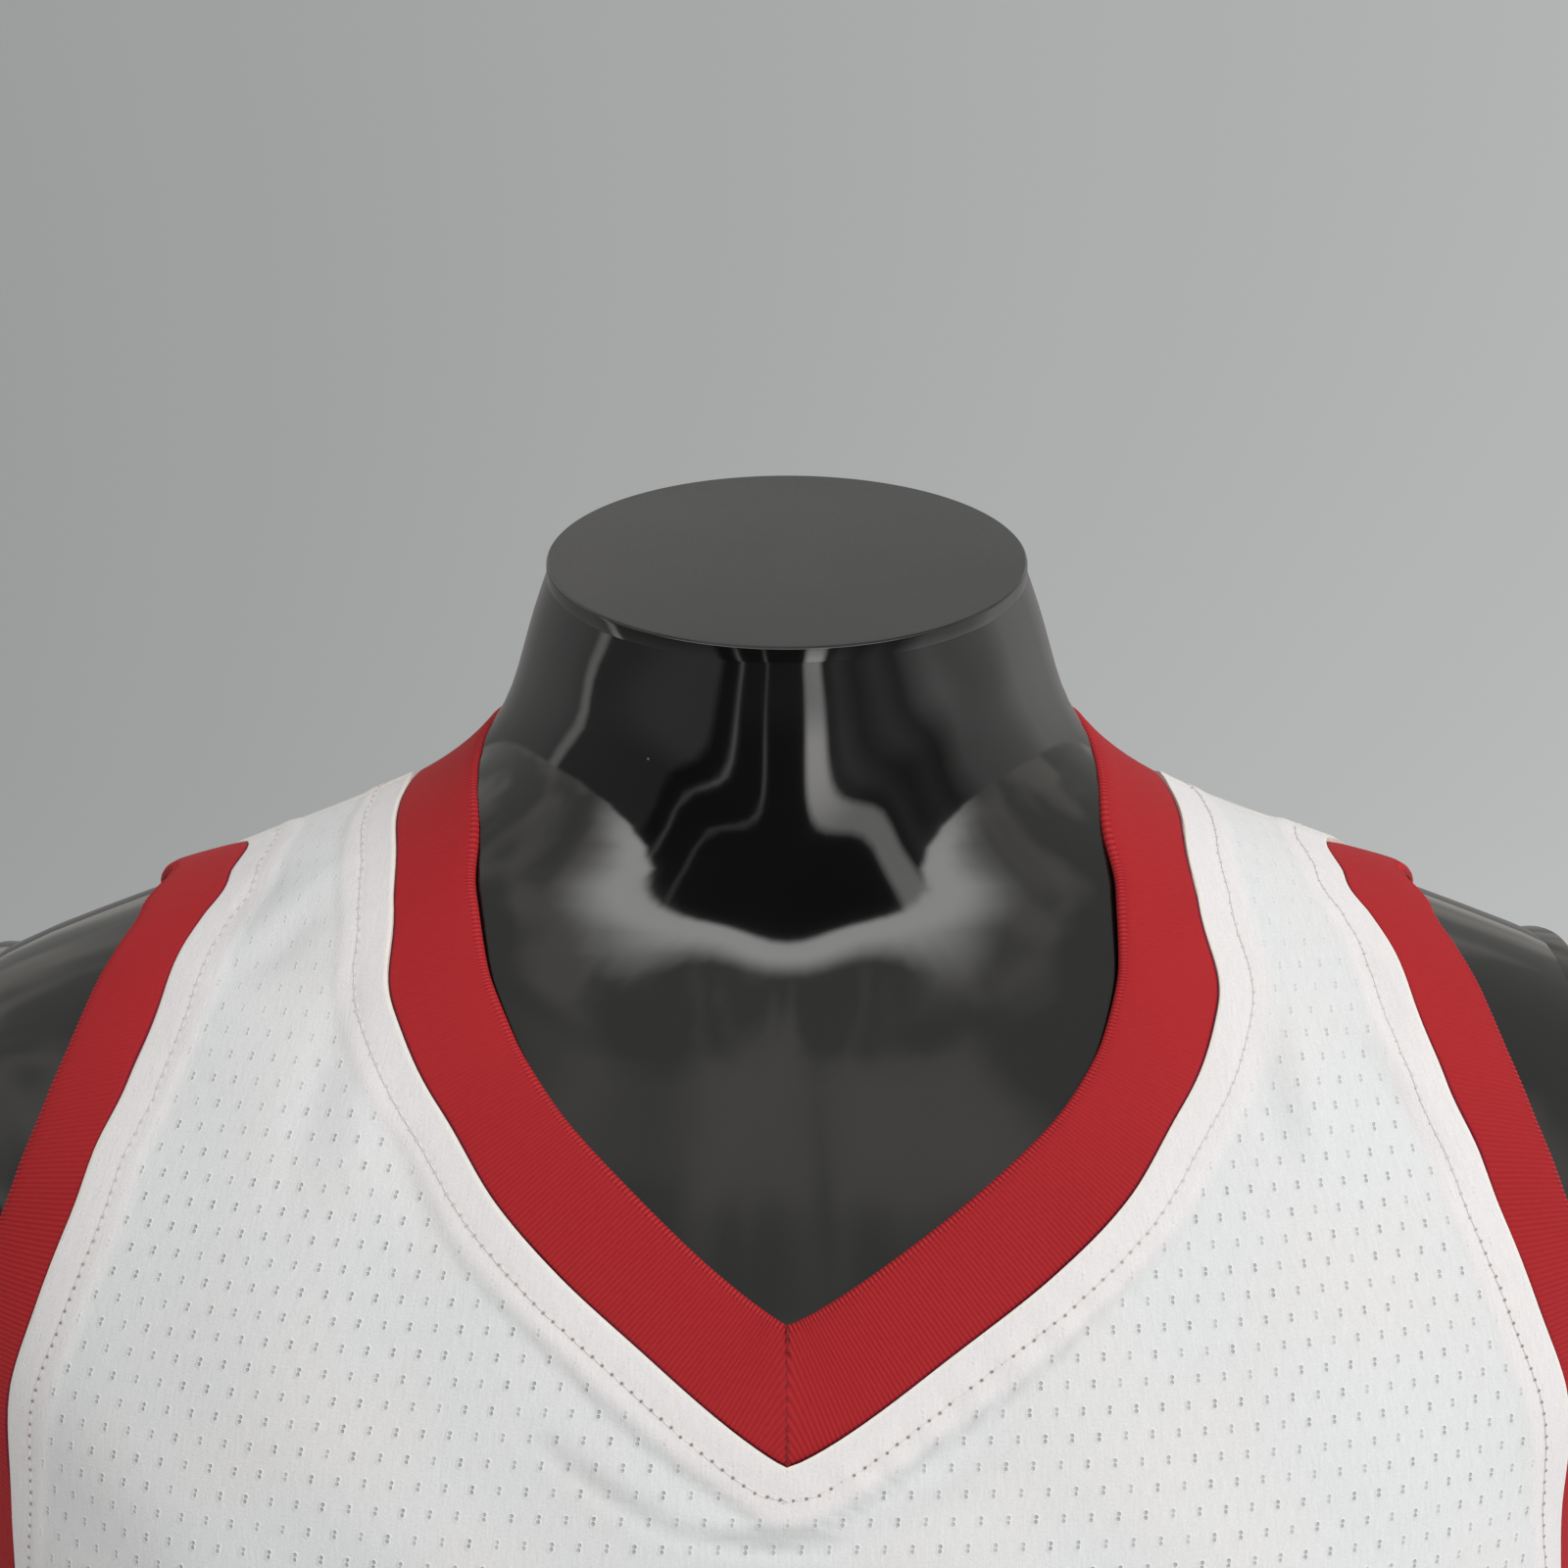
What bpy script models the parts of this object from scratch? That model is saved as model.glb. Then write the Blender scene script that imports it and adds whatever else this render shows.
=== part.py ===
"""Sleeveless V-neck basketball jersey, worn by a limbless torso display form.

Units are metres, +Z is up, the front faces -Y and the wearer's left is +X. The form stands on its
flat base at z = 0. Form and cloth are both lofted from rings, the level sections of a torso. A place
on a ring is an angle: 0 at the front centre, 90 at the wearer's left side, 180 at the back centre.
"""
import math
from collections import namedtuple

import bmesh
import bpy
from mathutils import Vector

# Driving sizes
HEM_HEIGHT = 0.032
BODY_WALL = 0.0015
BAND_WALL = 0.0020
CLOTH_OFFSET = 0.0034       # outer face of the cloth, out from the shoulders that carry it
SEAM_GAP = 0.0004           # between pieces that are sewn to each other
FIT_GAP = 0.0003            # between the form and its plates
PLATE_THICKNESS = 0.006
CAP_THICKNESS = 0.004
PLATE_BEVEL = 0.0015
LEFT_CUT_REACH = 0.189      # distance of the flat shoulder cut from the middle
RIGHT_CUT_REACH = 0.197
SHOULDER_CUT_TURN = 12      # degrees that the cut faces back
NECK_LEAN = 1.6             # degrees that the neckline sits round to the wearer's left

# Meshing
FORM_SEGMENTS = 40
RING_SPACING = 0.025
PANEL_COLUMNS = 12
PANEL_ROWS = 42
BAND_COLUMNS = 3
NECK_STEPS = 3
ARM_STEPS = 2
NORMAL_ANGLE_STEP = 1.5     # degrees
NORMAL_HEIGHT_STEP = 0.001

# Level sections of the torso: a superellipse of exponent `square`, whose middle is at y = shift,
# and which is tipped forward by `tilt` degrees
Ring = namedtuple("Ring", "height half_width front back shift square tilt")
NECK_RINGS = [
    Ring(0.8295, 0.0599, 0.0610, 0.0610, -0.016, 2.00, 12),
    Ring(0.8170, 0.0648, 0.0615, 0.0615, -0.013, 2.00, 8),
    Ring(0.8030, 0.0678, 0.0620, 0.0630, -0.009, 1.95, 5),
]
SHOULDER_RINGS = [
    Ring(0.7900, 0.0712, 0.0630, 0.0650, -0.006, 1.85, 2),
    Ring(0.7790, 0.0815, 0.0640, 0.0670, -0.004, 1.75, 0),
    Ring(0.7714, 0.0938, 0.0645, 0.0690, -0.002, 1.70, 0),
    Ring(0.7637, 0.1130, 0.0657, 0.0715, -0.001, 1.68, 0),
    Ring(0.7560, 0.1335, 0.0673, 0.0742, 0.000, 1.69, 0),
    Ring(0.7440, 0.1645, 0.0703, 0.0785, 0.000, 1.73, 0),
    Ring(0.7300, 0.2000, 0.0755, 0.0845, 0.000, 1.81, 0),
    Ring(0.7110, 0.2250, 0.0855, 0.0935, 0.000, 1.95, 0),
    Ring(0.6800, 0.2340, 0.1010, 0.1060, 0.000, 2.15, 0),
    Ring(0.6400, 0.2250, 0.1150, 0.1150, 0.000, 2.35, 0),
]
TORSO_RINGS = [
    Ring(0.6000, 0.1900, 0.1215, 0.1165, 0.000, 2.40, 0),
    Ring(0.5600, 0.1760, 0.1245, 0.1155, 0.000, 2.40, 0),
    Ring(0.5200, 0.1700, 0.1235, 0.1120, 0.000, 2.40, 0),
    Ring(0.4400, 0.1600, 0.1150, 0.1020, 0.000, 2.35, 0),
    Ring(0.3400, 0.1490, 0.1050, 0.0930, 0.000, 2.30, 0),
    Ring(0.2600, 0.1560, 0.1040, 0.1010, 0.000, 2.30, 0),
    Ring(0.1600, 0.1710, 0.1060, 0.1180, 0.000, 2.30, 0),
    Ring(0.0800, 0.1740, 0.1070, 0.1200, 0.000, 2.30, 0),
    Ring(0.0000, 0.1660, 0.1020, 0.1120, 0.000, 2.30, 0),
]
# Below the armholes the cloth leaves the torso and hangs from the chest and shoulder blades
HANGING_RINGS = [
    Ring(0.6000, 0.2080, 0.1260, 0.1190, 0.000, 2.45, 0),
    Ring(0.5500, 0.2000, 0.1310, 0.1210, 0.000, 2.50, 0),
    Ring(0.4500, 0.1985, 0.1320, 0.1220, 0.000, 2.50, 0),
    Ring(0.2500, 0.2000, 0.1330, 0.1265, 0.000, 2.40, 0),
    Ring(0.0300, 0.2030, 0.1345, 0.1315, 0.000, 2.40, 0),
]

# Sections across the rib bands, from the free edge to the seam with the body panels
Section = namedtuple("Section", "free_angle free_height seam_angle seam_height")
NECK_SECTIONS = [
    Section(0.0, 0.6630, 0.0, 0.6315),       # mitre at the centre front
    Section(5.0, 0.6785, 6.5, 0.6545),
    Section(9.5, 0.6915, 12.5, 0.6725),
    Section(14.5, 0.7050, 17.5, 0.6885),
    Section(19.5, 0.7190, 23.0, 0.7080),
    Section(26.5, 0.7355, 31.5, 0.7290),
    Section(38.5, 0.7550, 44.5, 0.7490),
    Section(56.0, 0.7715, 59.0, 0.7625),
    Section(90.0, 0.7880, 90.0, 0.7720),     # shoulder seam
    Section(118.0, 0.7900, 118.0, 0.7675),
    Section(145.0, 0.7895, 142.0, 0.7645),
    Section(180.0, 0.7890, 180.0, 0.7630),   # centre back
]
NECK_SHOULDER = 8
ARM_SECTIONS = [
    Section(90.0, 0.7470, 90.0, 0.7545),     # shoulder seam
    Section(72.0, 0.7415, 70.5, 0.7500),
    Section(63.0, 0.7345, 61.0, 0.7425),
    Section(57.0, 0.7250, 52.5, 0.7320),
    Section(53.5, 0.7150, 47.5, 0.7210),
    Section(52.5, 0.7035, 45.5, 0.7090),
    Section(52.5, 0.6920, 45.5, 0.6955),
    Section(53.5, 0.6780, 46.0, 0.6790),
    Section(57.0, 0.6605, 49.5, 0.6575),
    Section(62.5, 0.6390, 55.0, 0.6345),
    Section(69.0, 0.6165, 61.5, 0.6055),
    Section(75.5, 0.5950, 67.5, 0.5760),
    Section(80.5, 0.5740, 75.0, 0.5490),
    Section(85.5, 0.5600, 83.0, 0.5315),
    Section(90.0, 0.5545, 90.0, 0.5255),     # underarm
    Section(96.0, 0.5600, 97.5, 0.5310),
    Section(104.5, 0.5745, 108.0, 0.5475),
    Section(113.0, 0.5915, 118.5, 0.5685),
    Section(122.0, 0.6090, 128.5, 0.5920),
    Section(128.5, 0.6270, 136.5, 0.6160),
    Section(131.5, 0.6440, 140.0, 0.6375),
    Section(132.5, 0.6605, 141.5, 0.6570),
    Section(133.0, 0.6770, 141.5, 0.6760),
    Section(132.0, 0.6925, 140.5, 0.6935),
    Section(130.0, 0.7075, 138.5, 0.7105),
    Section(127.0, 0.7200, 134.0, 0.7255),
    Section(118.5, 0.7333, 121.5, 0.7405),
]
ARM_UNDERARM = 14

# Soft folds that run down to the hem: place round the body at the hem, degrees that the fold swings
# per metre of height, height where it starts, width in degrees and how far it stands out at the hem
Fold = namedtuple("Fold", "angle swing top width depth")
FOLDS = [
    Fold(-64, 18, 0.52, 9, 0.0075),
    Fold(-37, 30, 0.50, 10, 0.0055),
    Fold(-8, -12, 0.42, 11, 0.0060),
    Fold(26, -34, 0.54, 9, 0.0070),
    Fold(58, -20, 0.46, 10, 0.0060),
    Fold(118, 22, 0.50, 9, 0.0065),
    Fold(146, 34, 0.58, 10, 0.0080),
    Fold(176, 5, 0.44, 9, 0.0050),
    Fold(-150, -36, 0.57, 9, 0.0070),
    Fold(-121, -18, 0.48, 10, 0.0070),
]


class RingStack:
    """A surface through rings, each column joined by a cubic that doesn't overshoot."""

    def __init__(self, rings):
        self.rings = sorted(rings)
        self.columns = [list(column) for column in zip(*self.rings)]
        self.slopes = [self._column_slopes(column) for column in self.columns]

    def _column_slopes(self, column):
        heights = self.columns[0]
        steps = [upper - lower for lower, upper in zip(heights, heights[1:])]
        rises = [(upper - lower) / step for lower, upper, step in zip(column, column[1:], steps)]
        slopes = [rises[0]]
        for below, above, step_below, step_above in zip(rises, rises[1:], steps, steps[1:]):
            if below * above <= 0:
                slopes.append(0.0)
                continue
            weight_below = 2 * step_above + step_below
            weight_above = step_above + 2 * step_below
            slopes.append((weight_below + weight_above) / (weight_below / below + weight_above / above))
        return slopes + [rises[-1]]

    def ring(self, height):
        heights = self.columns[0]
        index = max(i for i in range(len(heights) - 1) if i == 0 or heights[i] <= height)
        step = heights[index + 1] - heights[index]
        t = (height - heights[index]) / step
        values = []
        for column, slopes in zip(self.columns, self.slopes):
            values.append(
                (1 + 2 * t) * (1 - t) ** 2 * column[index]
                + t * (1 - t) ** 2 * step * slopes[index]
                + t * t * (3 - 2 * t) * column[index + 1]
                + t * t * (t - 1) * step * slopes[index + 1]
            )
        return Ring(*values)

    def point(self, angle, height):
        ring = self.ring(height)
        sine, cosine = math.sin(math.radians(angle)), math.cos(math.radians(angle))
        depth = ring.front if cosine > 0 else ring.back
        across = ring.half_width * math.copysign(abs(sine) ** (2 / ring.square), sine)
        along = -depth * math.copysign(abs(cosine) ** (2 / ring.square), cosine)
        return Vector((across, ring.shift + along, height + along * math.tan(math.radians(ring.tilt))))

    def normal(self, angle, height):
        turn, rise = NORMAL_ANGLE_STEP, NORMAL_HEIGHT_STEP
        round_body = self.point(angle + turn, height) - self.point(angle - turn, height)
        upward = self.point(angle, height + rise) - self.point(angle, height - rise)
        return round_body.cross(upward).normalized()


form_surface = RingStack(NECK_RINGS + SHOULDER_RINGS + TORSO_RINGS)
cloth_surface = RingStack(NECK_RINGS + SHOULDER_RINGS + HANGING_RINGS)


def smooth_step(value):
    value = min(max(value, 0.0), 1.0)
    return value * value * (3 - 2 * value)


def fold_height(angle, height):
    """How far the folds push the cloth out at a place on it."""
    total = 0.0
    for fold in FOLDS:
        centre = fold.angle + fold.swing * (height - HEM_HEIGHT)
        away = (angle - centre + 180) % 360 - 180
        growth = smooth_step((fold.top - height) / (fold.top - HEM_HEIGHT))
        total += fold.depth * growth * math.exp(-(away / fold.width) ** 2)
    return total


def cloth_point(angle, height, depth=0.0):
    """A point of the cloth, as deep as this under its outer face."""
    reach = CLOTH_OFFSET + fold_height(angle, height) - depth
    return cloth_surface.point(angle, height) + cloth_surface.normal(angle, height) * reach


def smooth_rows(rows, steps, before, after):
    """The rows with more between them, on a Catmull-Rom curve."""
    padded = [before] + list(rows) + [after]
    result = []
    for index in range(1, len(padded) - 2):
        near = padded[index - 1:index + 3]
        for step in range(steps):
            t = step / steps
            weights = (
                (-t + 2 * t ** 2 - t ** 3) / 2,
                (2 - 5 * t ** 2 + 3 * t ** 3) / 2,
                (t + 4 * t ** 2 - 3 * t ** 3) / 2,
                (t ** 3 - t ** 2) / 2,
            )
            columns = zip(*near)
            result.append(Section(*[sum(w * v for w, v in zip(weights, column)) for column in columns]))
    return result + [rows[-1]]


def neck_sections(side):
    """Sections of the neckband from the mitre over one shoulder to the centre back."""
    last = NECK_SECTIONS[-2]
    beyond = last._replace(free_angle=360 - last.free_angle, seam_angle=360 - last.seam_angle)
    rows = smooth_rows(NECK_SECTIONS, NECK_STEPS, NECK_SECTIONS[0], beyond)
    shoulder = NECK_SHOULDER * NECK_STEPS
    sections = []
    for number, row in enumerate(rows):
        turn = side * NECK_LEAN * math.sin(math.pi * min(number / shoulder, 1.0))
        sections.append(row._replace(free_angle=row.free_angle + turn, seam_angle=row.seam_angle + turn))
    return sections


def arm_sections():
    """Sections of an armhole band, from the shoulder down the front and up the back, all the way round."""
    return smooth_rows(ARM_SECTIONS + ARM_SECTIONS[:1], ARM_STEPS, ARM_SECTIONS[-1], ARM_SECTIONS[1])


def between(start, end, share):
    return start + (end - start) * share


def descend(angle, top, bottom, rows):
    """Evenly spaced places straight down the body."""
    return [(angle, between(top, bottom, row / rows)) for row in range(1, rows + 1)]


def material(name, colour, roughness, metallic=0.0):
    finish = bpy.data.materials.new(name)
    finish.use_nodes = True
    shader = finish.node_tree.nodes["Principled BSDF"]
    shader.inputs["Base Color"].default_value = (*colour, 1.0)
    shader.inputs["Roughness"].default_value = roughness
    shader.inputs["Metallic"].default_value = metallic
    return finish


def make_object(name, mesh, finish, collection):
    """An object from a mesh, shaded smooth but for its real edges."""
    mesh.name = name
    mesh.materials.append(finish)
    mesh.shade_smooth()
    mesh.set_sharp_from_angle(angle=math.radians(40))
    piece = bpy.data.objects.new(name, mesh)
    collection.objects.link(piece)
    return piece


def mesh_from(builder):
    mesh = bpy.data.meshes.new("mesh")
    builder.to_mesh(mesh)
    builder.free()
    return mesh


class Wall:
    """A piece of cloth: its outer face, the same face one thickness deeper, and the cut edges between.

    Both faces follow the surface's own normals, so the edges of two pieces that are sewn together
    stay parallel through the whole thickness.
    """

    def __init__(self, thickness):
        self.thickness = thickness
        self.outer, self.inner, self.faces = [], [], []
        self.numbers = {}

    def corner(self, angle, height, shift=Vector()):
        """The number of the corner at this place; a place that is asked for again keeps its number."""
        outer = cloth_point(angle, height) + shift
        key = tuple(round(value, 6) for value in outer)
        if key not in self.numbers:
            self.numbers[key] = len(self.outer)
            self.outer.append(outer)
            self.inner.append(cloth_point(angle, height, self.thickness) + shift)
        return self.numbers[key]

    def cover(self, rows, flip):
        """Faces over rows of corners."""
        for upper, lower in zip(rows, rows[1:]):
            for column in range(len(upper) - 1):
                face = (upper[column], lower[column], lower[column + 1], upper[column + 1])
                self.faces.append(face[::-1] if flip else face)

    def mesh(self):
        count = len(self.outer)
        edges = [edge for face in self.faces for edge in zip(face, face[1:] + face[:1])]
        known = set(edges)
        rim = [(end, start, start + count, end + count) for start, end in edges if (end, start) not in known]
        inside = [tuple(corner + count for corner in reversed(face)) for face in self.faces]
        mesh = bpy.data.meshes.new("cloth")
        mesh.from_pydata(self.outer + self.inner, [], self.faces + inside + rim)
        return mesh


def panel_half(wall, side, inner_edge, outer_edge, front):
    """Half of a body panel, from the neckline and centre line to the armhole and side seam."""
    half_gap = Vector((0, -SEAM_GAP / 2 if front else SEAM_GAP / 2, 0))
    rows = []
    for number, (inner, outer) in enumerate(zip(inner_edge, outer_edge)):
        # Straight at the shoulder; level at both ends by the underarm, where the armhole is level too
        ease = min(number / (ARM_UNDERARM * ARM_STEPS), 1.0)
        row = []
        for column in range(PANEL_COLUMNS + 1):
            share = column / PANEL_COLUMNS
            angle = between(inner[0], outer[0], share)
            on_seam = abs(angle - 90) < 1e-6
            height = between(inner[1], outer[1], between(share, smooth_step(share), ease))
            row.append(wall.corner(side * angle, height, half_gap if on_seam else Vector()))
        rows.append(row)
    wall.cover(rows, flip=(side > 0) != front)


def make_body_panel(name, front, finish, collection):
    """The front or back panel, with shoulder seams, neckline, armholes and side seams."""
    shoulder, underarm = NECK_SHOULDER * NECK_STEPS, ARM_UNDERARM * ARM_STEPS
    arm = arm_sections()
    arm_part = arm[:underarm + 1] if front else arm[:underarm - 1:-1]
    outer_edge = [(section.seam_angle, section.seam_height) for section in arm_part]
    outer_edge += descend(*outer_edge[-1], HEM_HEIGHT, PANEL_ROWS + 1 - len(outer_edge))
    wall = Wall(BODY_WALL)
    for side in (1, -1):
        neck = neck_sections(side)
        neck_part = neck[shoulder::-1] if front else neck[shoulder:]
        inner_edge = [(section.seam_angle, section.seam_height) for section in neck_part]
        inner_edge += descend(*inner_edge[-1], HEM_HEIGHT, PANEL_ROWS + 1 - len(inner_edge))
        panel_half(wall, side, inner_edge, outer_edge, front)
    make_object(name, wall.mesh(), finish, collection)


def band_row(wall, section, side, shift=Vector()):
    """Corners across a band, from its free edge to just short of its seam."""
    free = cloth_point(side * section.free_angle, section.free_height)
    seam = cloth_point(side * section.seam_angle, section.seam_height)
    reach = 1 - SEAM_GAP / (seam - free).length
    row = []
    for column in range(BAND_COLUMNS + 1):
        share = reach * column / BAND_COLUMNS
        angle = between(section.free_angle, section.seam_angle, share)
        height = between(section.free_height, section.seam_height, share)
        row.append(wall.corner(side * angle, height, shift))
    return row


def make_neckband(finish, collection):
    """The rib strip round the neck, whose two ends meet in the mitre."""
    wall = Wall(BAND_WALL)
    halves = []
    for side in (1, -1):
        mitre, *others = neck_sections(side)
        end = band_row(wall, mitre, side, Vector((side * SEAM_GAP / 2, 0, 0)))
        halves.append([end] + [band_row(wall, section, side) for section in others])
    wall.cover(halves[0] + halves[1][-2::-1], flip=True)
    make_object("neckband", wall.mesh(), finish, collection)


def make_armband(name, side, finish, collection):
    """The rib strip round an armhole, closed under the arm."""
    wall = Wall(BAND_WALL)
    wall.cover([band_row(wall, section, side) for section in arm_sections()], flip=side > 0)
    make_object(name, wall.mesh(), finish, collection)


def ring_heights():
    """The heights of the form's rings and evenly more between them."""
    heights = []
    for lower, upper in zip(form_surface.rings, form_surface.rings[1:]):
        steps = math.ceil((upper.height - lower.height) / RING_SPACING)
        heights += [between(lower.height, upper.height, step / steps) for step in range(steps)]
    return heights + [form_surface.rings[-1].height]


def cut_shoulder(builder, side, reach):
    """Cut a shoulder off flat; gives the outline of the cut and the direction that it faces."""
    turn = math.radians(SHOULDER_CUT_TURN)
    facing = Vector((side * math.cos(turn), math.sin(turn), 0))
    everything = builder.verts[:] + builder.edges[:] + builder.faces[:]
    cut = bmesh.ops.bisect_plane(
        builder, geom=everything, plane_co=facing * reach, plane_no=facing, clear_outer=True)
    rim = [item for item in cut["geom_cut"] if isinstance(item, bmesh.types.BMEdge)]
    face = bmesh.ops.edgeloop_fill(builder, edges=rim)["faces"][0]
    face.normal_update()
    if face.normal.dot(facing) < 0:
        face.normal_flip()
    return [vert.co.copy() for vert in face.verts], facing


def make_plate(name, outline, facing, thickness, finish, collection):
    """A flat plate on one of the form's cuts, with that cut's outline."""
    builder = bmesh.new()
    base = builder.faces.new([builder.verts.new(point + facing * FIT_GAP) for point in outline])
    top = bmesh.ops.extrude_face_region(builder, geom=[base])["geom"]
    raised = [item for item in top if isinstance(item, bmesh.types.BMVert)]
    bmesh.ops.translate(builder, verts=raised, vec=facing * thickness)
    bmesh.ops.recalc_face_normals(builder, faces=builder.faces)
    plate = make_object(name, mesh_from(builder), finish, collection)
    bevel = plate.modifiers.new("Rounded rim", "BEVEL")
    bevel.width = PLATE_BEVEL
    bevel.segments = 1
    bevel.limit_method = "ANGLE"
    bevel.angle_limit = math.radians(50)


def make_form(gloss, satin, collection):
    """The torso from its flat base to the neck, its cap and the plates on its cut shoulders."""
    builder = bmesh.new()
    loops = []
    for height in ring_heights():
        angles = [360 * segment / FORM_SEGMENTS for segment in range(FORM_SEGMENTS)]
        loops.append([builder.verts.new(form_surface.point(angle, height)) for angle in angles])
    for lower, upper in zip(loops, loops[1:]):
        for segment in range(FORM_SEGMENTS):
            after = (segment + 1) % FORM_SEGMENTS
            builder.faces.new([lower[segment], lower[after], upper[after], upper[segment]])
    builder.faces.new(loops[0][::-1])
    neck_top = builder.faces.new(loops[-1])
    neck_top.normal_update()
    cap_outline, cap_facing = [vert.co.copy() for vert in loops[-1]], neck_top.normal.copy()
    reaches = {1: LEFT_CUT_REACH, -1: RIGHT_CUT_REACH}
    shoulders = {side: cut_shoulder(builder, side, reach) for side, reach in reaches.items()}
    make_object("form_torso", mesh_from(builder), gloss, collection)
    make_plate("form_neck_cap", cap_outline, cap_facing, CAP_THICKNESS, satin, collection)
    for side, name in ((1, "left"), (-1, "right")):
        make_plate("form_shoulder_plate_" + name, *shoulders[side], PLATE_THICKNESS, satin, collection)


def main():
    for old in list(bpy.data.objects):
        bpy.data.objects.remove(old, do_unlink=True)
    collection = bpy.data.collections.new("basketball_jersey")
    bpy.context.scene.collection.children.link(collection)

    mesh_knit = material("white mesh knit", (0.80, 0.80, 0.79), 0.85)
    rib_knit = material("red rib knit", (0.38, 0.018, 0.025), 0.80)
    black_gloss = material("black gloss plastic", (0.012, 0.012, 0.012), 0.12)
    black_satin = material("black satin plastic", (0.03, 0.03, 0.03), 0.35)

    make_form(black_gloss, black_satin, collection)
    make_body_panel("body_front", True, mesh_knit, collection)
    make_body_panel("body_back", False, mesh_knit, collection)
    make_neckband(rib_knit, collection)
    make_armband("armband_left", 1, rib_knit, collection)
    make_armband("armband_right", -1, rib_knit, collection)


main()
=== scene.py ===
import math

import bmesh
import bpy
import numpy as np
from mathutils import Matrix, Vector


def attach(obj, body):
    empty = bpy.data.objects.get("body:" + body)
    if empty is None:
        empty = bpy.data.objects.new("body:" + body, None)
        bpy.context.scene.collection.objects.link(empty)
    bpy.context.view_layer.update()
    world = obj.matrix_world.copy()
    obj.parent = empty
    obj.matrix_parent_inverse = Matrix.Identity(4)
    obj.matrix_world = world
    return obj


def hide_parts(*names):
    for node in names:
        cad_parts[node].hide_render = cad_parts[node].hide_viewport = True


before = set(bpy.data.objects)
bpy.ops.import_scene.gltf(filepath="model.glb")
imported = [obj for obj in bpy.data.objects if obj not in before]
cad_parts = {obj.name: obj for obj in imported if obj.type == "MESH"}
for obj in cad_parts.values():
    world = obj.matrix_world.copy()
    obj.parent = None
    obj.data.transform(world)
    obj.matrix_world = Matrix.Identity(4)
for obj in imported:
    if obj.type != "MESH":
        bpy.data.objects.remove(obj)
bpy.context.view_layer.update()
scene = bpy.context.scene
print("frame loaded")


# ---- the body that form and cloth share ----

# rings: height, half width, front, back, shift, squareness, tilt in degrees
body = {
    "neck": [
        (0.8295, 0.0599, 0.0610, 0.0610, -0.016, 2.00, 12),
        (0.8170, 0.0648, 0.0615, 0.0615, -0.013, 2.00, 8),
        (0.8030, 0.0678, 0.0620, 0.0630, -0.009, 1.95, 5),
    ],
    "shoulders": [
        (0.7900, 0.0712, 0.0630, 0.0650, -0.006, 1.85, 2),
        (0.7790, 0.0815, 0.0640, 0.0670, -0.004, 1.75, 0),
        (0.7714, 0.0938, 0.0645, 0.0690, -0.002, 1.70, 0),
        (0.7637, 0.1130, 0.0657, 0.0715, -0.001, 1.68, 0),
        (0.7560, 0.1335, 0.0673, 0.0742, 0.000, 1.69, 0),
        (0.7440, 0.1645, 0.0703, 0.0785, 0.000, 1.73, 0),
        (0.7300, 0.2000, 0.0755, 0.0845, 0.000, 1.81, 0),
        (0.7110, 0.2250, 0.0855, 0.0935, 0.000, 1.95, 0),
        (0.6800, 0.2340, 0.1010, 0.1060, 0.000, 2.15, 0),
        (0.6400, 0.2250, 0.1150, 0.1150, 0.000, 2.35, 0),
    ],
    "torso": [
        (0.6000, 0.1900, 0.1215, 0.1165, 0.000, 2.40, 0),
        (0.5600, 0.1760, 0.1245, 0.1155, 0.000, 2.40, 0),
        (0.5200, 0.1700, 0.1235, 0.1120, 0.000, 2.40, 0),
        (0.4400, 0.1600, 0.1150, 0.1020, 0.000, 2.35, 0),
        (0.3400, 0.1490, 0.1050, 0.0930, 0.000, 2.30, 0),
        (0.2600, 0.1560, 0.1040, 0.1010, 0.000, 2.30, 0),
        (0.1600, 0.1710, 0.1060, 0.1180, 0.000, 2.30, 0),
        (0.0800, 0.1740, 0.1070, 0.1200, 0.000, 2.30, 0),
        (0.0000, 0.1660, 0.1020, 0.1120, 0.000, 2.30, 0),
    ],
    "hanging": [
        (0.6000, 0.2080, 0.1260, 0.1190, 0.000, 2.45, 0),
        (0.5500, 0.2000, 0.1310, 0.1210, 0.000, 2.50, 0),
        (0.4500, 0.1985, 0.1320, 0.1220, 0.000, 2.50, 0),
        (0.2500, 0.2000, 0.1330, 0.1265, 0.000, 2.40, 0),
        (0.0300, 0.2030, 0.1345, 0.1315, 0.000, 2.40, 0),
    ],
    "softness": 0.004,      # rounds the joins between rings
    "sampling": 0.0005,
}


def ease(value):
    value = np.clip(value, 0, 1)
    return value * value * (3 - 2 * value)


def mix(start, end, share):
    return start + (end - start) * share


def monotoneCurve(x, y, at):
    # a cubic through the points that doesn't overshoot, straight beyond them
    step = np.diff(x)
    rise = np.diff(y) / step
    below, above = 2 * step[1:] + step[:-1], step[1:] + 2 * step[:-1]
    alike = rise[:-1] * rise[1:] > 0
    safe = np.where(rise == 0, 1, rise)
    inner = np.where(alike, (below + above) / (below / safe[:-1] + above / safe[1:]), 0)
    slope = np.concatenate([rise[:1], inner, rise[-1:]])
    held = np.clip(at, x[0], x[-1])
    i = np.clip(np.searchsorted(x, held) - 1, 0, len(x) - 2)
    t = (held - x[i]) / step[i]
    value = (1 + 2 * t) * (1 - t) ** 2 * y[i] + t * (1 - t) ** 2 * step[i] * slope[i]
    value += t * t * (3 - 2 * t) * y[i + 1] + t * t * (t - 1) * step[i] * slope[i + 1]
    return value + (at - held) * np.where(at > held, slope[-1], slope[0])


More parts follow.
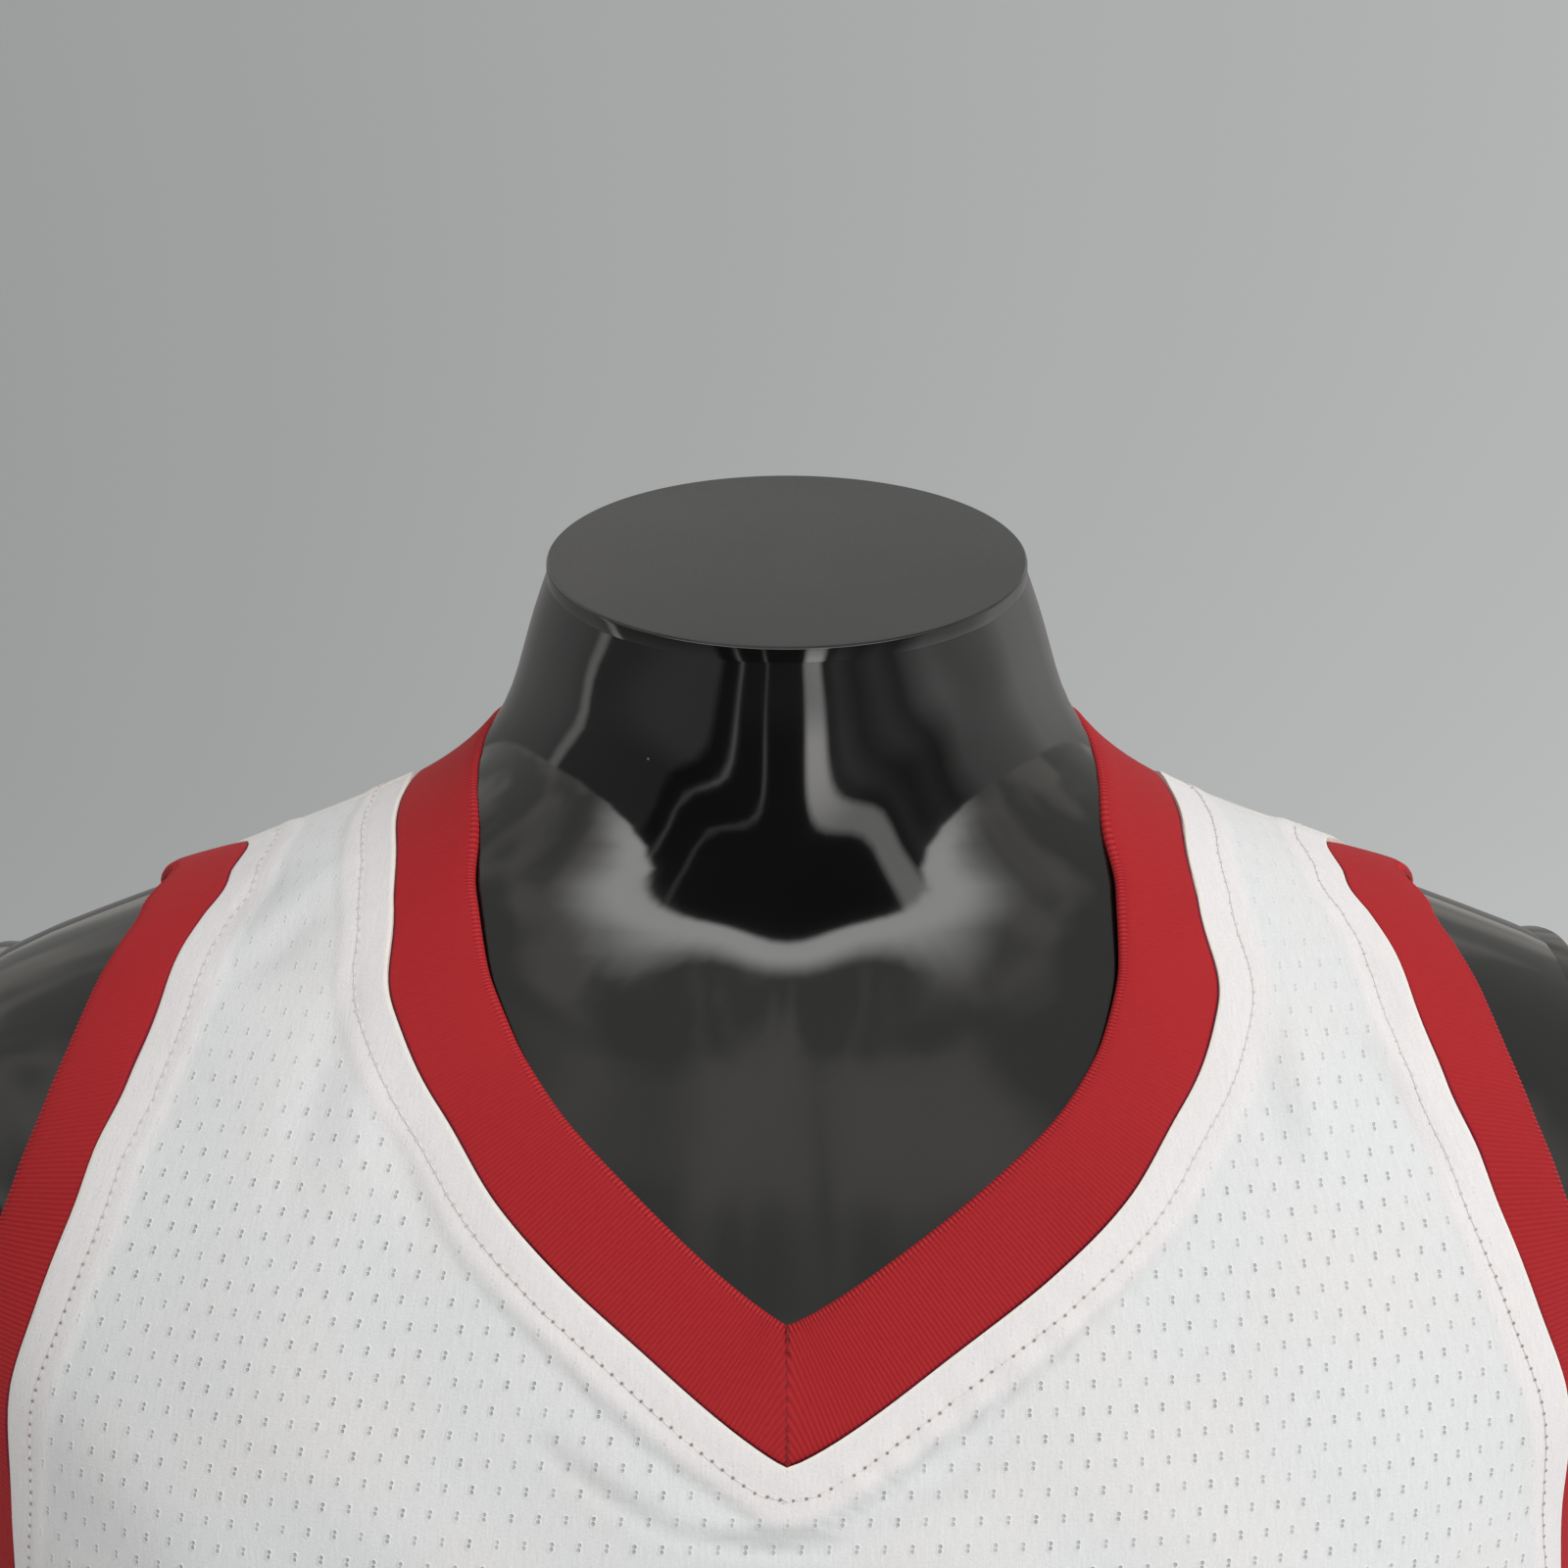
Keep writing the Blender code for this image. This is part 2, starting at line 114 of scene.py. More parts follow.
class RingSurface:
    def __init__(self, rings):
        rows = np.array(sorted(rings))
        fine, soft = body["sampling"], body["softness"]
        reach = np.arange(-3 * soft, 3.01 * soft, fine)
        kernel = np.exp(-0.5 * (reach / soft) ** 2)
        margin = (len(reach) // 2 + 10) * fine
        wide = np.arange(rows[0, 0] - margin, rows[-1, 0] + margin, fine)
        spare = len(reach) // 2
        self.heights = wide[spare:len(wide) - spare]
        self.columns = []
        for column in rows[:, 1:].T:
            values = monotoneCurve(rows[:, 0], column, wide)
            self.columns.append(np.convolve(values, kernel / kernel.sum(), "valid"))

    def ring(self, height):
        return [np.interp(height, self.heights, column) for column in self.columns]

    def point(self, angle, height):
        angle, height = np.broadcast_arrays(np.asarray(angle, float), np.asarray(height, float))
        halfWidth, front, back, shift, square, tilt = self.ring(height)
        sine, cosine = np.sin(np.radians(angle)), np.cos(np.radians(angle))
        depth = np.where(cosine > 0, front, back)
        across = halfWidth * np.sign(sine) * np.abs(sine) ** (2 / square)
        along = -depth * np.sign(cosine) * np.abs(cosine) ** (2 / square)
        return np.stack([across, shift + along, height + along * np.tan(np.radians(tilt))], -1)

    def normal(self, angle, height, turn=1.5, rise=0.001):
        roundBody = self.point(angle + turn, height) - self.point(angle - turn, height)
        upward = self.point(angle, height + rise) - self.point(angle, height - rise)
        facing = np.cross(roundBody, upward)
        return facing / np.linalg.norm(facing, axis=-1, keepdims=True)

    def place(self, points, reach):
        # angle and height of points that stand out from the surface by this much
        base = np.array(points)
        for _ in range(4):
            halfWidth, front, back, shift, square, tilt = self.ring(base[..., 2])
            y = base[..., 1] - shift
            depth = np.where(y < 0, front, back)
            sine = np.sign(base[..., 0]) * np.abs(base[..., 0] / halfWidth) ** (square / 2)
            cosine = -np.sign(y) * np.abs(y / depth) ** (square / 2)
            angle, height = np.degrees(np.arctan2(sine, cosine)), base[..., 2]
            base = points - self.normal(angle, height) * reach
        return angle, height


formSurface = RingSurface(body["neck"] + body["shoulders"] + body["torso"])
clothSurface = RingSurface(body["neck"] + body["shoulders"] + body["hanging"])


# ---- the cut of the jersey ----

cut = {
    # from the free edge to the seam: angle, height, angle, height
    "neck": [
        (0.0, 0.6630, 0.0, 0.6315),         # mitre at the centre front
        (5.0, 0.6785, 6.5, 0.6545),
        (9.5, 0.6915, 12.5, 0.6725),
        (14.5, 0.7050, 17.7, 0.6885),
        (19.5, 0.7190, 23.5, 0.7082),
        (26.5, 0.7355, 31.7, 0.7287),
        (38.5, 0.7550, 43.6, 0.7492),
        (56.0, 0.7715, 60.5, 0.7633),
        (90.0, 0.7880, 90.0, 0.7720),       # shoulder seam
        (118.0, 0.7900, 118.0, 0.7675),
        (145.0, 0.7895, 142.0, 0.7645),
        (180.0, 0.7890, 180.0, 0.7630),     # centre back
    ],
    "neckShoulder": 8,
    "arm": [
        (90.0, 0.7470, 90.0, 0.7545),       # shoulder seam
        (72.0, 0.7415, 70.5, 0.7500),
        (63.0, 0.7345, 61.0, 0.7425),
        (57.0, 0.7250, 52.5, 0.7320),
        (53.5, 0.7150, 47.5, 0.7210),
        (52.5, 0.7035, 45.5, 0.7090),
        (52.5, 0.6920, 45.5, 0.6955),
        (53.5, 0.6780, 46.0, 0.6790),
        (57.0, 0.6605, 49.5, 0.6575),
        (62.5, 0.6390, 55.0, 0.6345),
        (69.0, 0.6165, 61.5, 0.6055),
        (75.5, 0.5950, 67.5, 0.5760),
        (80.5, 0.5740, 75.0, 0.5490),
        (85.5, 0.5600, 83.0, 0.5315),
        (90.0, 0.5545, 90.0, 0.5255),       # underarm
        (96.0, 0.5600, 97.5, 0.5310),
        (104.5, 0.5745, 108.0, 0.5475),
        (113.0, 0.5915, 118.5, 0.5685),
        (122.0, 0.6090, 128.5, 0.5920),
        (128.5, 0.6270, 136.5, 0.6160),
        (131.5, 0.6440, 140.0, 0.6375),
        (132.5, 0.6605, 141.5, 0.6570),
        (133.0, 0.6770, 141.5, 0.6760),
        (132.0, 0.6925, 140.5, 0.6935),
        (130.0, 0.7075, 138.5, 0.7105),
        (127.0, 0.7200, 134.0, 0.7255),
        (118.5, 0.7333, 121.5, 0.7405),
    ],
    "armUnderarm": 14,
    "neckLean": 1.6,        # degrees that the neckline sits round to the wearer's left
    "hemHeight": 0.032,
    "offset": 0.0034,       # outer face of the cloth, out from the shoulders
    "seamGap": 0.00012,     # the sewn edges all but touch
    "panelWall": 0.0012,
    "bandWall": 0.0020,
}


def smoothRows(rows, steps, before, after):
    # the rows with more between them, on a Catmull-Rom curve
    padded = np.array([before] + list(rows) + [after], float)
    t = np.arange(steps)[:, None] / steps
    pieces = []
    for a, b, c, d in zip(padded, padded[1:], padded[2:], padded[3:]):
        pieces.append((
            a * (-t + 2 * t ** 2 - t ** 3) + b * (2 - 5 * t ** 2 + 3 * t ** 3)
            + c * (t + 4 * t ** 2 - 3 * t ** 3) + d * (t ** 3 - t ** 2)) / 2)
    return np.vstack(pieces + [padded[-2:-1]])


def neckSections(side, steps):
    rows = cut["neck"]
    last = rows[-2]
    beyond = (360 - last[0], last[1], 360 - last[2], last[3])
    fine = smoothRows(rows, steps, rows[0], beyond)
    share = np.minimum(np.arange(len(fine)) / (cut["neckShoulder"] * steps), 1)
    fine[:, [0, 2]] += (side * cut["neckLean"] * np.sin(math.pi * share))[:, None]
    return fine


def armSections(steps):
    rows = cut["arm"]
    return smoothRows(rows + rows[:1], steps, rows[-1], rows[1])


# folds that run down to the hem: angle there, swing in degrees per metre, top, width, depth
drape = {
    "folds": [
        (-64, 18, 0.52, 9, 0.0075),
        (-37, 30, 0.50, 10, 0.0055),
        (-8, -12, 0.42, 11, 0.0060),
        (26, -34, 0.54, 9, 0.0070),
        (58, -20, 0.46, 10, 0.0060),
        (118, 22, 0.50, 9, 0.0065),
        (146, 34, 0.58, 10, 0.0080),
        (176, 5, 0.44, 9, 0.0050),
        (-150, -36, 0.57, 9, 0.0070),
        (-121, -18, 0.48, 10, 0.0070),
    ],
    # creases: start, bend and end as distance from the centre line and height; width, depth
    "frontCreases": [
        (-0.026, 0.6180, -0.006, 0.6148, 0.014, 0.6166, 0.0018, -0.0016),
        (-0.024, 0.6142, -0.005, 0.6112, 0.013, 0.6130, 0.0030, 0.0012),
        (-0.026, 0.6206, -0.006, 0.6178, 0.014, 0.6194, 0.0022, 0.0007),
        (-0.060, 0.6400, -0.042, 0.6262, -0.022, 0.6160, 0.0022, -0.0014),
        (-0.058, 0.6350, -0.040, 0.6216, -0.020, 0.6120, 0.0034, 0.0007),
        (0.016, 0.6178, 0.034, 0.6240, 0.052, 0.6370, 0.0024, -0.0008),
        (-0.070, 0.6010, -0.030, 0.5900, 0.012, 0.5950, 0.0070, -0.0007),
        (0.020, 0.5930, 0.052, 0.5840, 0.088, 0.5960, 0.0070, 0.0008),
        (-0.141, 0.7370, -0.127, 0.7465, -0.114, 0.7560, 0.0040, 0.0013),
        (-0.144, 0.7440, -0.138, 0.7482, -0.131, 0.7525, 0.0030, -0.0008),
        (-0.142, 0.7320, -0.130, 0.7362, -0.118, 0.7475, 0.0035, -0.0010),
        (-0.104, 0.7400, -0.113, 0.7140, -0.122, 0.6820, 0.0050, -0.0010),
        (-0.100, 0.7160, -0.103, 0.7040, -0.105, 0.6880, 0.0050, 0.0009),
        (-0.095, 0.7020, -0.090, 0.6915, -0.084, 0.6800, 0.0045, -0.0007),
        (0.112, 0.7260, 0.116, 0.7100, 0.120, 0.6960, 0.0042, -0.0011),
        (0.122, 0.7340, 0.125, 0.7130, 0.129, 0.6940, 0.0042, 0.0010),
        (0.142, 0.7380, 0.148, 0.7300, 0.152, 0.7190, 0.0035, -0.0010),
        (0.136, 0.7240, 0.150, 0.7070, 0.163, 0.6880, 0.0034, -0.0011),
        (0.165, 0.5980, 0.120, 0.5820, 0.078, 0.5540, 0.0075, 0.0016),
        (0.172, 0.5800, 0.130, 0.5560, 0.094, 0.5220, 0.0080, -0.0016),
        (0.180, 0.5600, 0.146, 0.5300, 0.118, 0.4880, 0.0085, 0.0018),
        (-0.160, 0.6000, -0.118, 0.5760, -0.086, 0.5400, 0.0080, 0.0015),
        (-0.172, 0.5800, -0.138, 0.5480, -0.112, 0.5060, 0.0080, -0.0017),
        (-0.182, 0.5560, -0.158, 0.5200, -0.142, 0.4700, 0.0085, 0.0018),
        (-0.050, 0.5400, -0.062, 0.4700, -0.048, 0.4040, 0.0120, 0.0022),
        (-0.020, 0.4860, -0.010, 0.4100, -0.024, 0.3300, 0.0120, -0.0020),
        (0.040, 0.5200, 0.034, 0.4400, 0.052, 0.3600, 0.0130, 0.0024),
        (0.088, 0.4700, 0.096, 0.4000, 0.086, 0.3200, 0.0110, -0.0022),
        (-0.104, 0.4400, -0.092, 0.3700, -0.104, 0.2900, 0.0120, 0.0022),
        (-0.140, 0.4000, -0.150, 0.3300, -0.140, 0.2400, 0.0110, -0.0022),
        (0.140, 0.4200, 0.150, 0.3300, 0.142, 0.2500, 0.0120, 0.0024),
        (0.010, 0.3000, 0.000, 0.2200, 0.014, 0.1400, 0.0110, 0.0018),
        (-0.060, 0.2800, -0.070, 0.2000, -0.060, 0.1200, 0.0110, -0.0018),
        (0.070, 0.2600, 0.078, 0.1900, 0.066, 0.1100, 0.0110, -0.0020),
        (0.118, 0.2200, 0.112, 0.1500, 0.120, 0.0800, 0.0100, 0.0018),
        (-0.118, 0.2200, -0.126, 0.1500, -0.114, 0.0800, 0.0100, 0.0018),
    ],
    "backCreases": [
        (-0.100, 0.7150, -0.050, 0.7050, 0.000, 0.7080, 0.0080, 0.0008),
        (0.010, 0.7020, 0.056, 0.6980, 0.104, 0.7100, 0.0080, -0.0007),
        (0.150, 0.6350, 0.110, 0.6100, 0.080, 0.5700, 0.0085, 0.0016),
        (0.160, 0.6050, 0.124, 0.5760, 0.100, 0.5320, 0.0085, -0.0016),
        (0.176, 0.5700, 0.150, 0.5300, 0.134, 0.4800, 0.0090, 0.0020),
        (-0.150, 0.6300, -0.112, 0.6040, -0.086, 0.5600, 0.0085, 0.0016),
        (-0.166, 0.5960, -0.130, 0.5640, -0.108, 0.5200, 0.0085, -0.0017),
        (-0.178, 0.5640, -0.156, 0.5240, -0.140, 0.4700, 0.0090, 0.0020),
        (-0.060, 0.5500, -0.052, 0.4700, -0.066, 0.3900, 0.0130, 0.0026),
        (-0.020, 0.5000, -0.028, 0.4200, -0.014, 0.3300, 0.0120, -0.0022),
        (0.030, 0.5300, 0.040, 0.4500, 0.028, 0.3600, 0.0130, 0.0026),
        (0.076, 0.4900, 0.068, 0.4100, 0.080, 0.3100, 0.0120, -0.0024),
        (0.120, 0.4400, 0.128, 0.3600, 0.114, 0.2700, 0.0120, 0.0022),
        (-0.110, 0.4400, -0.120, 0.3500, -0.106, 0.2600, 0.0120, -0.0024),
        (0.004, 0.3000, 0.012, 0.2200, 0.000, 0.1400, 0.0120, 0.0020),
        (-0.072, 0.2900, -0.064, 0.2100, -0.076, 0.1200, 0.0120, 0.0020),
        (0.064, 0.2500, 0.056, 0.1800, 0.068, 0.1000, 0.0110, -0.0020),
        (0.126, 0.2200, 0.134, 0.1400, 0.124, 0.0700, 0.0110, 0.0018),
    ],
    "creaseSamples": 26,
    "creaseTaper": 0.6,
    "shadeFrom": 0.18,       # slope from which a crease gets painted shade in its bottom, and over how much more
    "shadeOver": 0.5,
    # relief beside the seams: it stands out most at the tip of the neckline
    "tipStrength": 0.42,
    "tipHeight": 0.640,
    "tipOver": 0.060,
    "armStrength": 0.40,
    "allowanceWidth": 0.0135,
    "allowanceRise": 0.0011,
    "allowanceEdge": 0.0032,
    "edgeWaves": [(0.0007, 0.021, 0.0), (0.0005, 0.0087, 1.3)],     # size, length, phase
    "shadowPlace": 0.35,      # where the painted shadow at the foot of the allowance lies, in widths of its edge
    "shadowWidth": 0.40,
    "stitchLine": 0.0085,
    "stitchDip": 0.0004,
    "stitchDipWidth": 0.0012,
    "lipWidth": 0.0009,
    "lipDrop": 0.0003,
    "pucker": 0.00045,
    "puckerPitch": 0.011,
    "puckerAway": 0.011,
    "puckerWidth": 0.006,
    "plainShare": 0.5,      # side and shoulder seams rise by this share of the allowance
    "plainWidth": 0.010,
    "unrest": 0.0007,
    "hemTop": 0.022,
    "hemLines": (0.0180, 0.0205),
    "hemRise": 0.0006,
    "hemStep": 0.002,
    "hemDip": 0.0004,
    "hemDipWidth": 0.0009,
    "hemRipple": 0.00025,
    "hemRippleRise": 0.021,
    "hemRippleWidth": 0.006,
    "hemLip": 0.0006,
    "hemLipWidth": 0.0012,
}


def foldReach(angle, height):
    total = np.zeros(np.broadcast(angle, height).shape)
    for place, swing, top, width, depth in drape["folds"]:
        away = (angle - place - swing * (height - cut["hemHeight"]) + 180) % 360 - 180
        total += depth * ease((top - height) / (top - cut["hemHeight"])) * np.exp(-(away / width) ** 2)
    return total


arcGrid = {"below": 0.004, "top": 0.800, "rows": 260, "lastTurn": 92, "turns": 185, "wales": 120}


class ArcMap:
    # lengths on the cloth: round the body from the centre line, and up along a wale from the hem
    def __init__(self, centre):
        self.centre = centre
        self.heights = np.linspace(cut["hemHeight"] - arcGrid["below"], arcGrid["top"], arcGrid["rows"])
        self.turns = np.linspace(0, arcGrid["lastTurn"], arcGrid["turns"])
        angles = self.turns if centre == 0 else 180 - self.turns
        points = clothSurface.point(angles[None, :], self.heights[:, None])
        steps = np.linalg.norm(np.diff(points, axis=1), axis=2)
        self.round = np.pad(np.cumsum(steps, axis=1), ((0, 0), (1, 0)))
        self.wales = np.linspace(0, self.round[:, -1].max(), arcGrid["wales"])
        turns = np.array([np.interp(self.wales, row, self.turns) for row in self.round])
        walePoints = clothSurface.point(turns if centre == 0 else 180 - turns, self.heights[:, None])
        climbs = np.linalg.norm(np.diff(walePoints, axis=0), axis=2)
        self.up = np.pad(np.cumsum(climbs, axis=0), ((1, 0), (0, 0)))

    def measure(self, angle, height):
        turn = np.abs((angle - self.centre + 180) % 360 - 180)
        side = np.sign((angle + 180) % 360 - 180)
        row = np.interp(height, self.heights, np.arange(len(self.heights)))
        low = np.clip(row.astype(int), 0, len(self.heights) - 2)
        share = row - low
        column = turn / self.turns[1]
        left = np.clip(column.astype(int), 0, len(self.turns) - 2)
        along = column - left
        below = mix(self.round[low, left], self.round[low, left + 1], along)
        above = mix(self.round[low + 1, left], self.round[low + 1, left + 1], along)
        u = mix(below, above, share)
        wale = u / self.wales[1]
        near = np.clip(wale.astype(int), 0, len(self.wales) - 2)
        part = wale - near
        below = mix(self.up[low, near], self.up[low, near + 1], part)
        above = mix(self.up[low + 1, near], self.up[low + 1, near + 1], part)
        return u * side, mix(below, above, share)


arcMaps = {True: ArcMap(0), False: ArcMap(180)}


def creaseReach(u, height, creases):
    # how far the creases lift the cloth, and how much painted shade their bottoms get: only the sharp ones
    # get it
    total, dark = np.zeros(u.shape), np.zeros(u.shape)
    t = np.linspace(0, 1, drape["creaseSamples"])
    for startU, startH, bendU, bendH, endU, endH, width, depth in creases:
        near = np.full(u.shape, 1e9)
        share = np.zeros(u.shape)
        middleU, middleH = 2 * bendU - (startU + endU) / 2, 2 * bendH - (startH + endH) / 2
        for s in t:
            a, b, c = (1 - s) ** 2, 2 * s * (1 - s), s * s
            alongU, alongH = a * startU + b * middleU + c * endU, a * startH + b * middleH + c * endH
            away = (u - alongU) ** 2 + (height - alongH) ** 2
            closer = away < near
            near[closer], share[closer] = away[closer], s
        ends = np.sin(math.pi * np.clip(share, 0.02, 0.98)) ** drape["creaseTaper"]
        strength = np.exp(-near / width ** 2) * ends
        total += depth * strength
        # painted shade in the bottoms of the sharp creases
        dark += float(ease((-depth / width - drape["shadeFrom"]) / drape["shadeOver"])) * strength
    return total, np.clip(dark, 0, 1)


def pathDistance(points, path):
    # distance of each point from a path, and how far along it the nearest place is
    best = np.full(points.shape[:-1], 1e9)
    where = np.zeros(points.shape[:-1])
    start = 0.0
    for a, b in zip(path, path[1:]):
        ab = b - a
        length = float(np.linalg.norm(ab))
        if length < 1e-9:
            continue
        t = np.clip(((points - a) @ ab) / length ** 2, 0, 1)
        away = np.linalg.norm(points - a - t[..., None] * ab, axis=-1)
        closer = away < best
        best[closer] = away[closer]
        where[closer] = start + t[closer] * length
        start += length
    return best, where


def basePoint(angle, height):
    reach = (cut["offset"] + foldReach(angle, height))[..., None]
    return clothSurface.point(angle, height) + clothSurface.normal(angle, height) * reach


def seamPaths():
    left, right = neckSections(1, 8), neckSections(-1, 8)
    neckAngles = np.concatenate([left[:, 2], -right[-2::-1, 2]])
    neckHeights = np.concatenate([left[:, 3], right[-2::-1, 3]])
    paths = {"neck": basePoint(neckAngles, neckHeights)}
    arm = armSections(5)
    sideHeights = np.linspace(cut["arm"][cut["armUnderarm"]][3], cut["hemHeight"], 24)
    shoulderHeights = np.linspace(cut["neck"][cut["neckShoulder"]][3], cut["arm"][0][3], 8)
    for name, side in (("left", 1), ("right", -1)):
        paths["arm_" + name] = basePoint(side * arm[:, 2], arm[:, 3])
        paths["side_" + name] = basePoint(np.full(24, 90.0 * side), sideHeights)
        paths["shoulder_" + name] = basePoint(np.full(8, 90.0 * side), shoulderHeights)
    return paths


seams = seamPaths()


def clothFields(angle, height, front):
    # everything that the panel's form and finish follow at these places
    points = basePoint(angle, height)
    u, v = arcMaps[front].measure(angle, height)
    reach = cut["offset"] + foldReach(angle, height)
    # the creases' lift, and the painted shade in their bottoms
    creases, hollow = creaseReach(u, height, drape["frontCreases" if front else "backCreases"])
    reach = reach + creases
    neck, alongNeck = pathDistance(points, seams["neck"])
    onLeft = angle > 0
    arm, alongArm = np.full(neck.shape, 1e9), np.zeros(neck.shape)
    plain = np.full(neck.shape, 1e9)
    for side, mask in (("left", onLeft), ("right", ~onLeft)):
        if not mask.any():
            continue
        arm[mask], alongArm[mask] = pathDistance(points[mask], seams["arm_" + side])
        sideAway = pathDistance(points[mask], seams["side_" + side])[0]
        shoulderAway = pathDistance(points[mask], seams["shoulder_" + side])[0]
        plain[mask] = np.minimum(sideAway, shoulderAway)
    d = drape
    nearTip = mix(d["tipStrength"], 1.0, 1 - ease((height - d["tipHeight"]) / d["tipOver"]))
    for away, along, strength in ((neck, alongNeck, nearTip), (arm, alongArm, d["armStrength"])):
        wobble = sum(size * np.sin(along / length + phase) for size, length, phase in d["edgeWaves"])
        edge = (away - d["allowanceWidth"] - wobble) / d["allowanceEdge"]
        reach = reach + strength * d["allowanceRise"] * (1 - ease(edge + 0.5))
        # painted shadow under the allowance's lower edge, along the neckline and strongest at its tip; none
        # along the armholes
        foot = (strength - d["armStrength"]) * np.exp(-((edge - d["shadowPlace"]) / d["shadowWidth"]) ** 2)
        hollow = np.maximum(hollow, np.clip(foot, 0, 1))
        dip = np.exp(-((away - d["stitchLine"]) / d["stitchDipWidth"]) ** 2)
        reach = reach - strength * d["stitchDip"] * dip
        ripple = np.sin(2 * math.pi * along / d["puckerPitch"] + 1.7 * np.sin(along / 0.017))
        ripple = ripple * (0.6 + 0.4 * np.sin(along / 0.043 + 0.8))
        here = np.exp(-((away - d["puckerAway"]) / d["puckerWidth"]) ** 2)
        reach = reach + strength * d["pucker"] * ripple * here
    reach = reach + d["plainShare"] * d["allowanceRise"] * (1 - ease(plain / d["plainWidth"]))
    # the cloth is never quite flat
    reach = reach + d["unrest"] * np.sin(u / 0.013 + 1.7 * np.sin(v / 0.023)) * np.sin(v / 0.019 + u / 0.041)
    nearest = np.minimum(np.minimum(neck, arm), plain)
    reach = reach - d["lipDrop"] * (1 - np.clip(nearest / d["lipWidth"], 0, 1)) ** 2
    rise = height - cut["hemHeight"]
    reach = reach + d["hemRise"] * (1 - ease((rise - d["hemTop"]) / d["hemStep"] + 0.5))
    for line in d["hemLines"]:
        reach = reach - d["hemDip"] * np.exp(-((rise - line) / d["hemDipWidth"]) ** 2)
    hemRipple = np.sin(u / 0.0021 + 1.5 * np.sin(u / 0.013))
    here = np.exp(-((rise - d["hemRippleRise"]) / d["hemRippleWidth"]) ** 2)
    reach = reach + d["hemRipple"] * hemRipple * here
    reach = reach - d["hemLip"] * (1 - np.clip(rise / d["hemLipWidth"], 0, 1)) ** 2
    return {"reach": reach, "u": u, "v": v, "neck": neck, "arm": arm, "plain": plain, "rise": rise,
            "hollow": hollow}


def clothPoint(angle, height, reach):
    normal = clothSurface.normal(angle, height)
    return clothSurface.point(angle, height) + normal * np.asarray(reach)[..., None]


# ---- materials ----

class Field:
    # a shader value that takes Python's operators
    def __init__(self, graph, socket):
        self.graph, self.socket = graph, socket


def addOperator(name, operation):
    # both ways round, as in a - b and 1 - b
    setattr(Field, "__" + name + "__", lambda self, other: self.graph.sum(operation, self, other))
    setattr(Field, "__r" + name + "__", lambda self, other: self.graph.sum(operation, other, self))


for name, operation in (("add", "ADD"), ("sub", "SUBTRACT"), ("mul", "MULTIPLY"), ("truediv", "DIVIDE"),
                        ("pow", "POWER")):
    addOperator(name, operation)


class Graph:
    def __init__(self, owner, output):
        self.owner = owner
        owner.use_nodes = True
        self.tree = owner.node_tree
        self.tree.nodes.clear()
        self.output = self.tree.nodes.new(output)

    def node(self, kind, settings, inputs, output=0):
        made = self.tree.nodes.new(kind)
        for key, value in settings.items():
            if key == "stops":
                self.setStops(made.color_ramp, value)
            else:
                setattr(made, key, value)
        for key, value in inputs.items():
            if isinstance(value, Field):
                self.tree.links.new(value.socket, made.inputs[key])
            else:
                made.inputs[key].default_value = value
        return Field(self, made.outputs[output])

    def setStops(self, ramp, stops):
        while len(ramp.elements) < len(stops):
            ramp.elements.new(0.5)
        for element, (position, colour) in zip(ramp.elements, stops):
            element.position, element.color = position, colour

    def sum(self, operation, *values):
        return self.node("ShaderNodeMath", {"operation": operation}, dict(enumerate(values)))

    def step(self, value, low, high):
        inputs = {"Value": value, "From Min": low, "From Max": high}
        return self.node("ShaderNodeMapRange", {"interpolation_type": "SMOOTHSTEP"}, inputs)

    def blend(self, share, first, second):
        settings = {"data_type": "RGBA", "clamp_factor": True}
        return self.node("ShaderNodeMix", settings, {0: share, 6: first, 7: second}, 2)

    def darken(self, colour, grey):
        shade = self.node("ShaderNodeCombineColor", {}, {0: grey, 1: grey, 2: grey})
        settings = {"data_type": "RGBA", "blend_type": "MULTIPLY"}
        return self.node("ShaderNodeMix", settings, {0: 1.0, 6: colour, 7: shade}, 2)

    def objectPlace(self):
        return self.node("ShaderNodeTexCoord", {}, {}, 3)

    def noise(self, vector, scale, detail=2.0, roughness=0.5):
        inputs = {"Vector": vector, "Scale": scale, "Detail": detail, "Roughness": roughness}
        return self.node("ShaderNodeTexNoise", {}, inputs)

    def stretch(self, vector, scale, turn=0.0):
        inputs = {"Vector": vector, "Scale": scale, "Rotation": (0.0, 0.0, turn)}
        return self.node("ShaderNodeMapping", {}, inputs)

    def uv(self, name):
        return self.node("ShaderNodeUVMap", {"uv_map": name}, {})

    def attribute(self, name):
        return self.node("ShaderNodeAttribute", {"attribute_name": name}, {}, 2)

    def split(self, vector):
        made = self.node("ShaderNodeSeparateXYZ", {}, {"Vector": vector})
        return made, Field(self, made.socket.node.outputs[1])

    def bump(self, height, distance, strength=1.0, under=None):
        inputs = {"Height": height, "Distance": distance, "Strength": strength}
        if under is not None:
            inputs["Normal"] = under
        return self.node("ShaderNodeBump", {}, inputs)

    def finish(self, inputs, kind="ShaderNodeBsdfPrincipled"):
        shader = self.node(kind, {}, inputs)
        self.tree.links.new(shader.socket, self.output.inputs["Surface"])
        return self.owner


def surface(name):
    return Graph(bpy.data.materials.new(name), "ShaderNodeOutputMaterial")


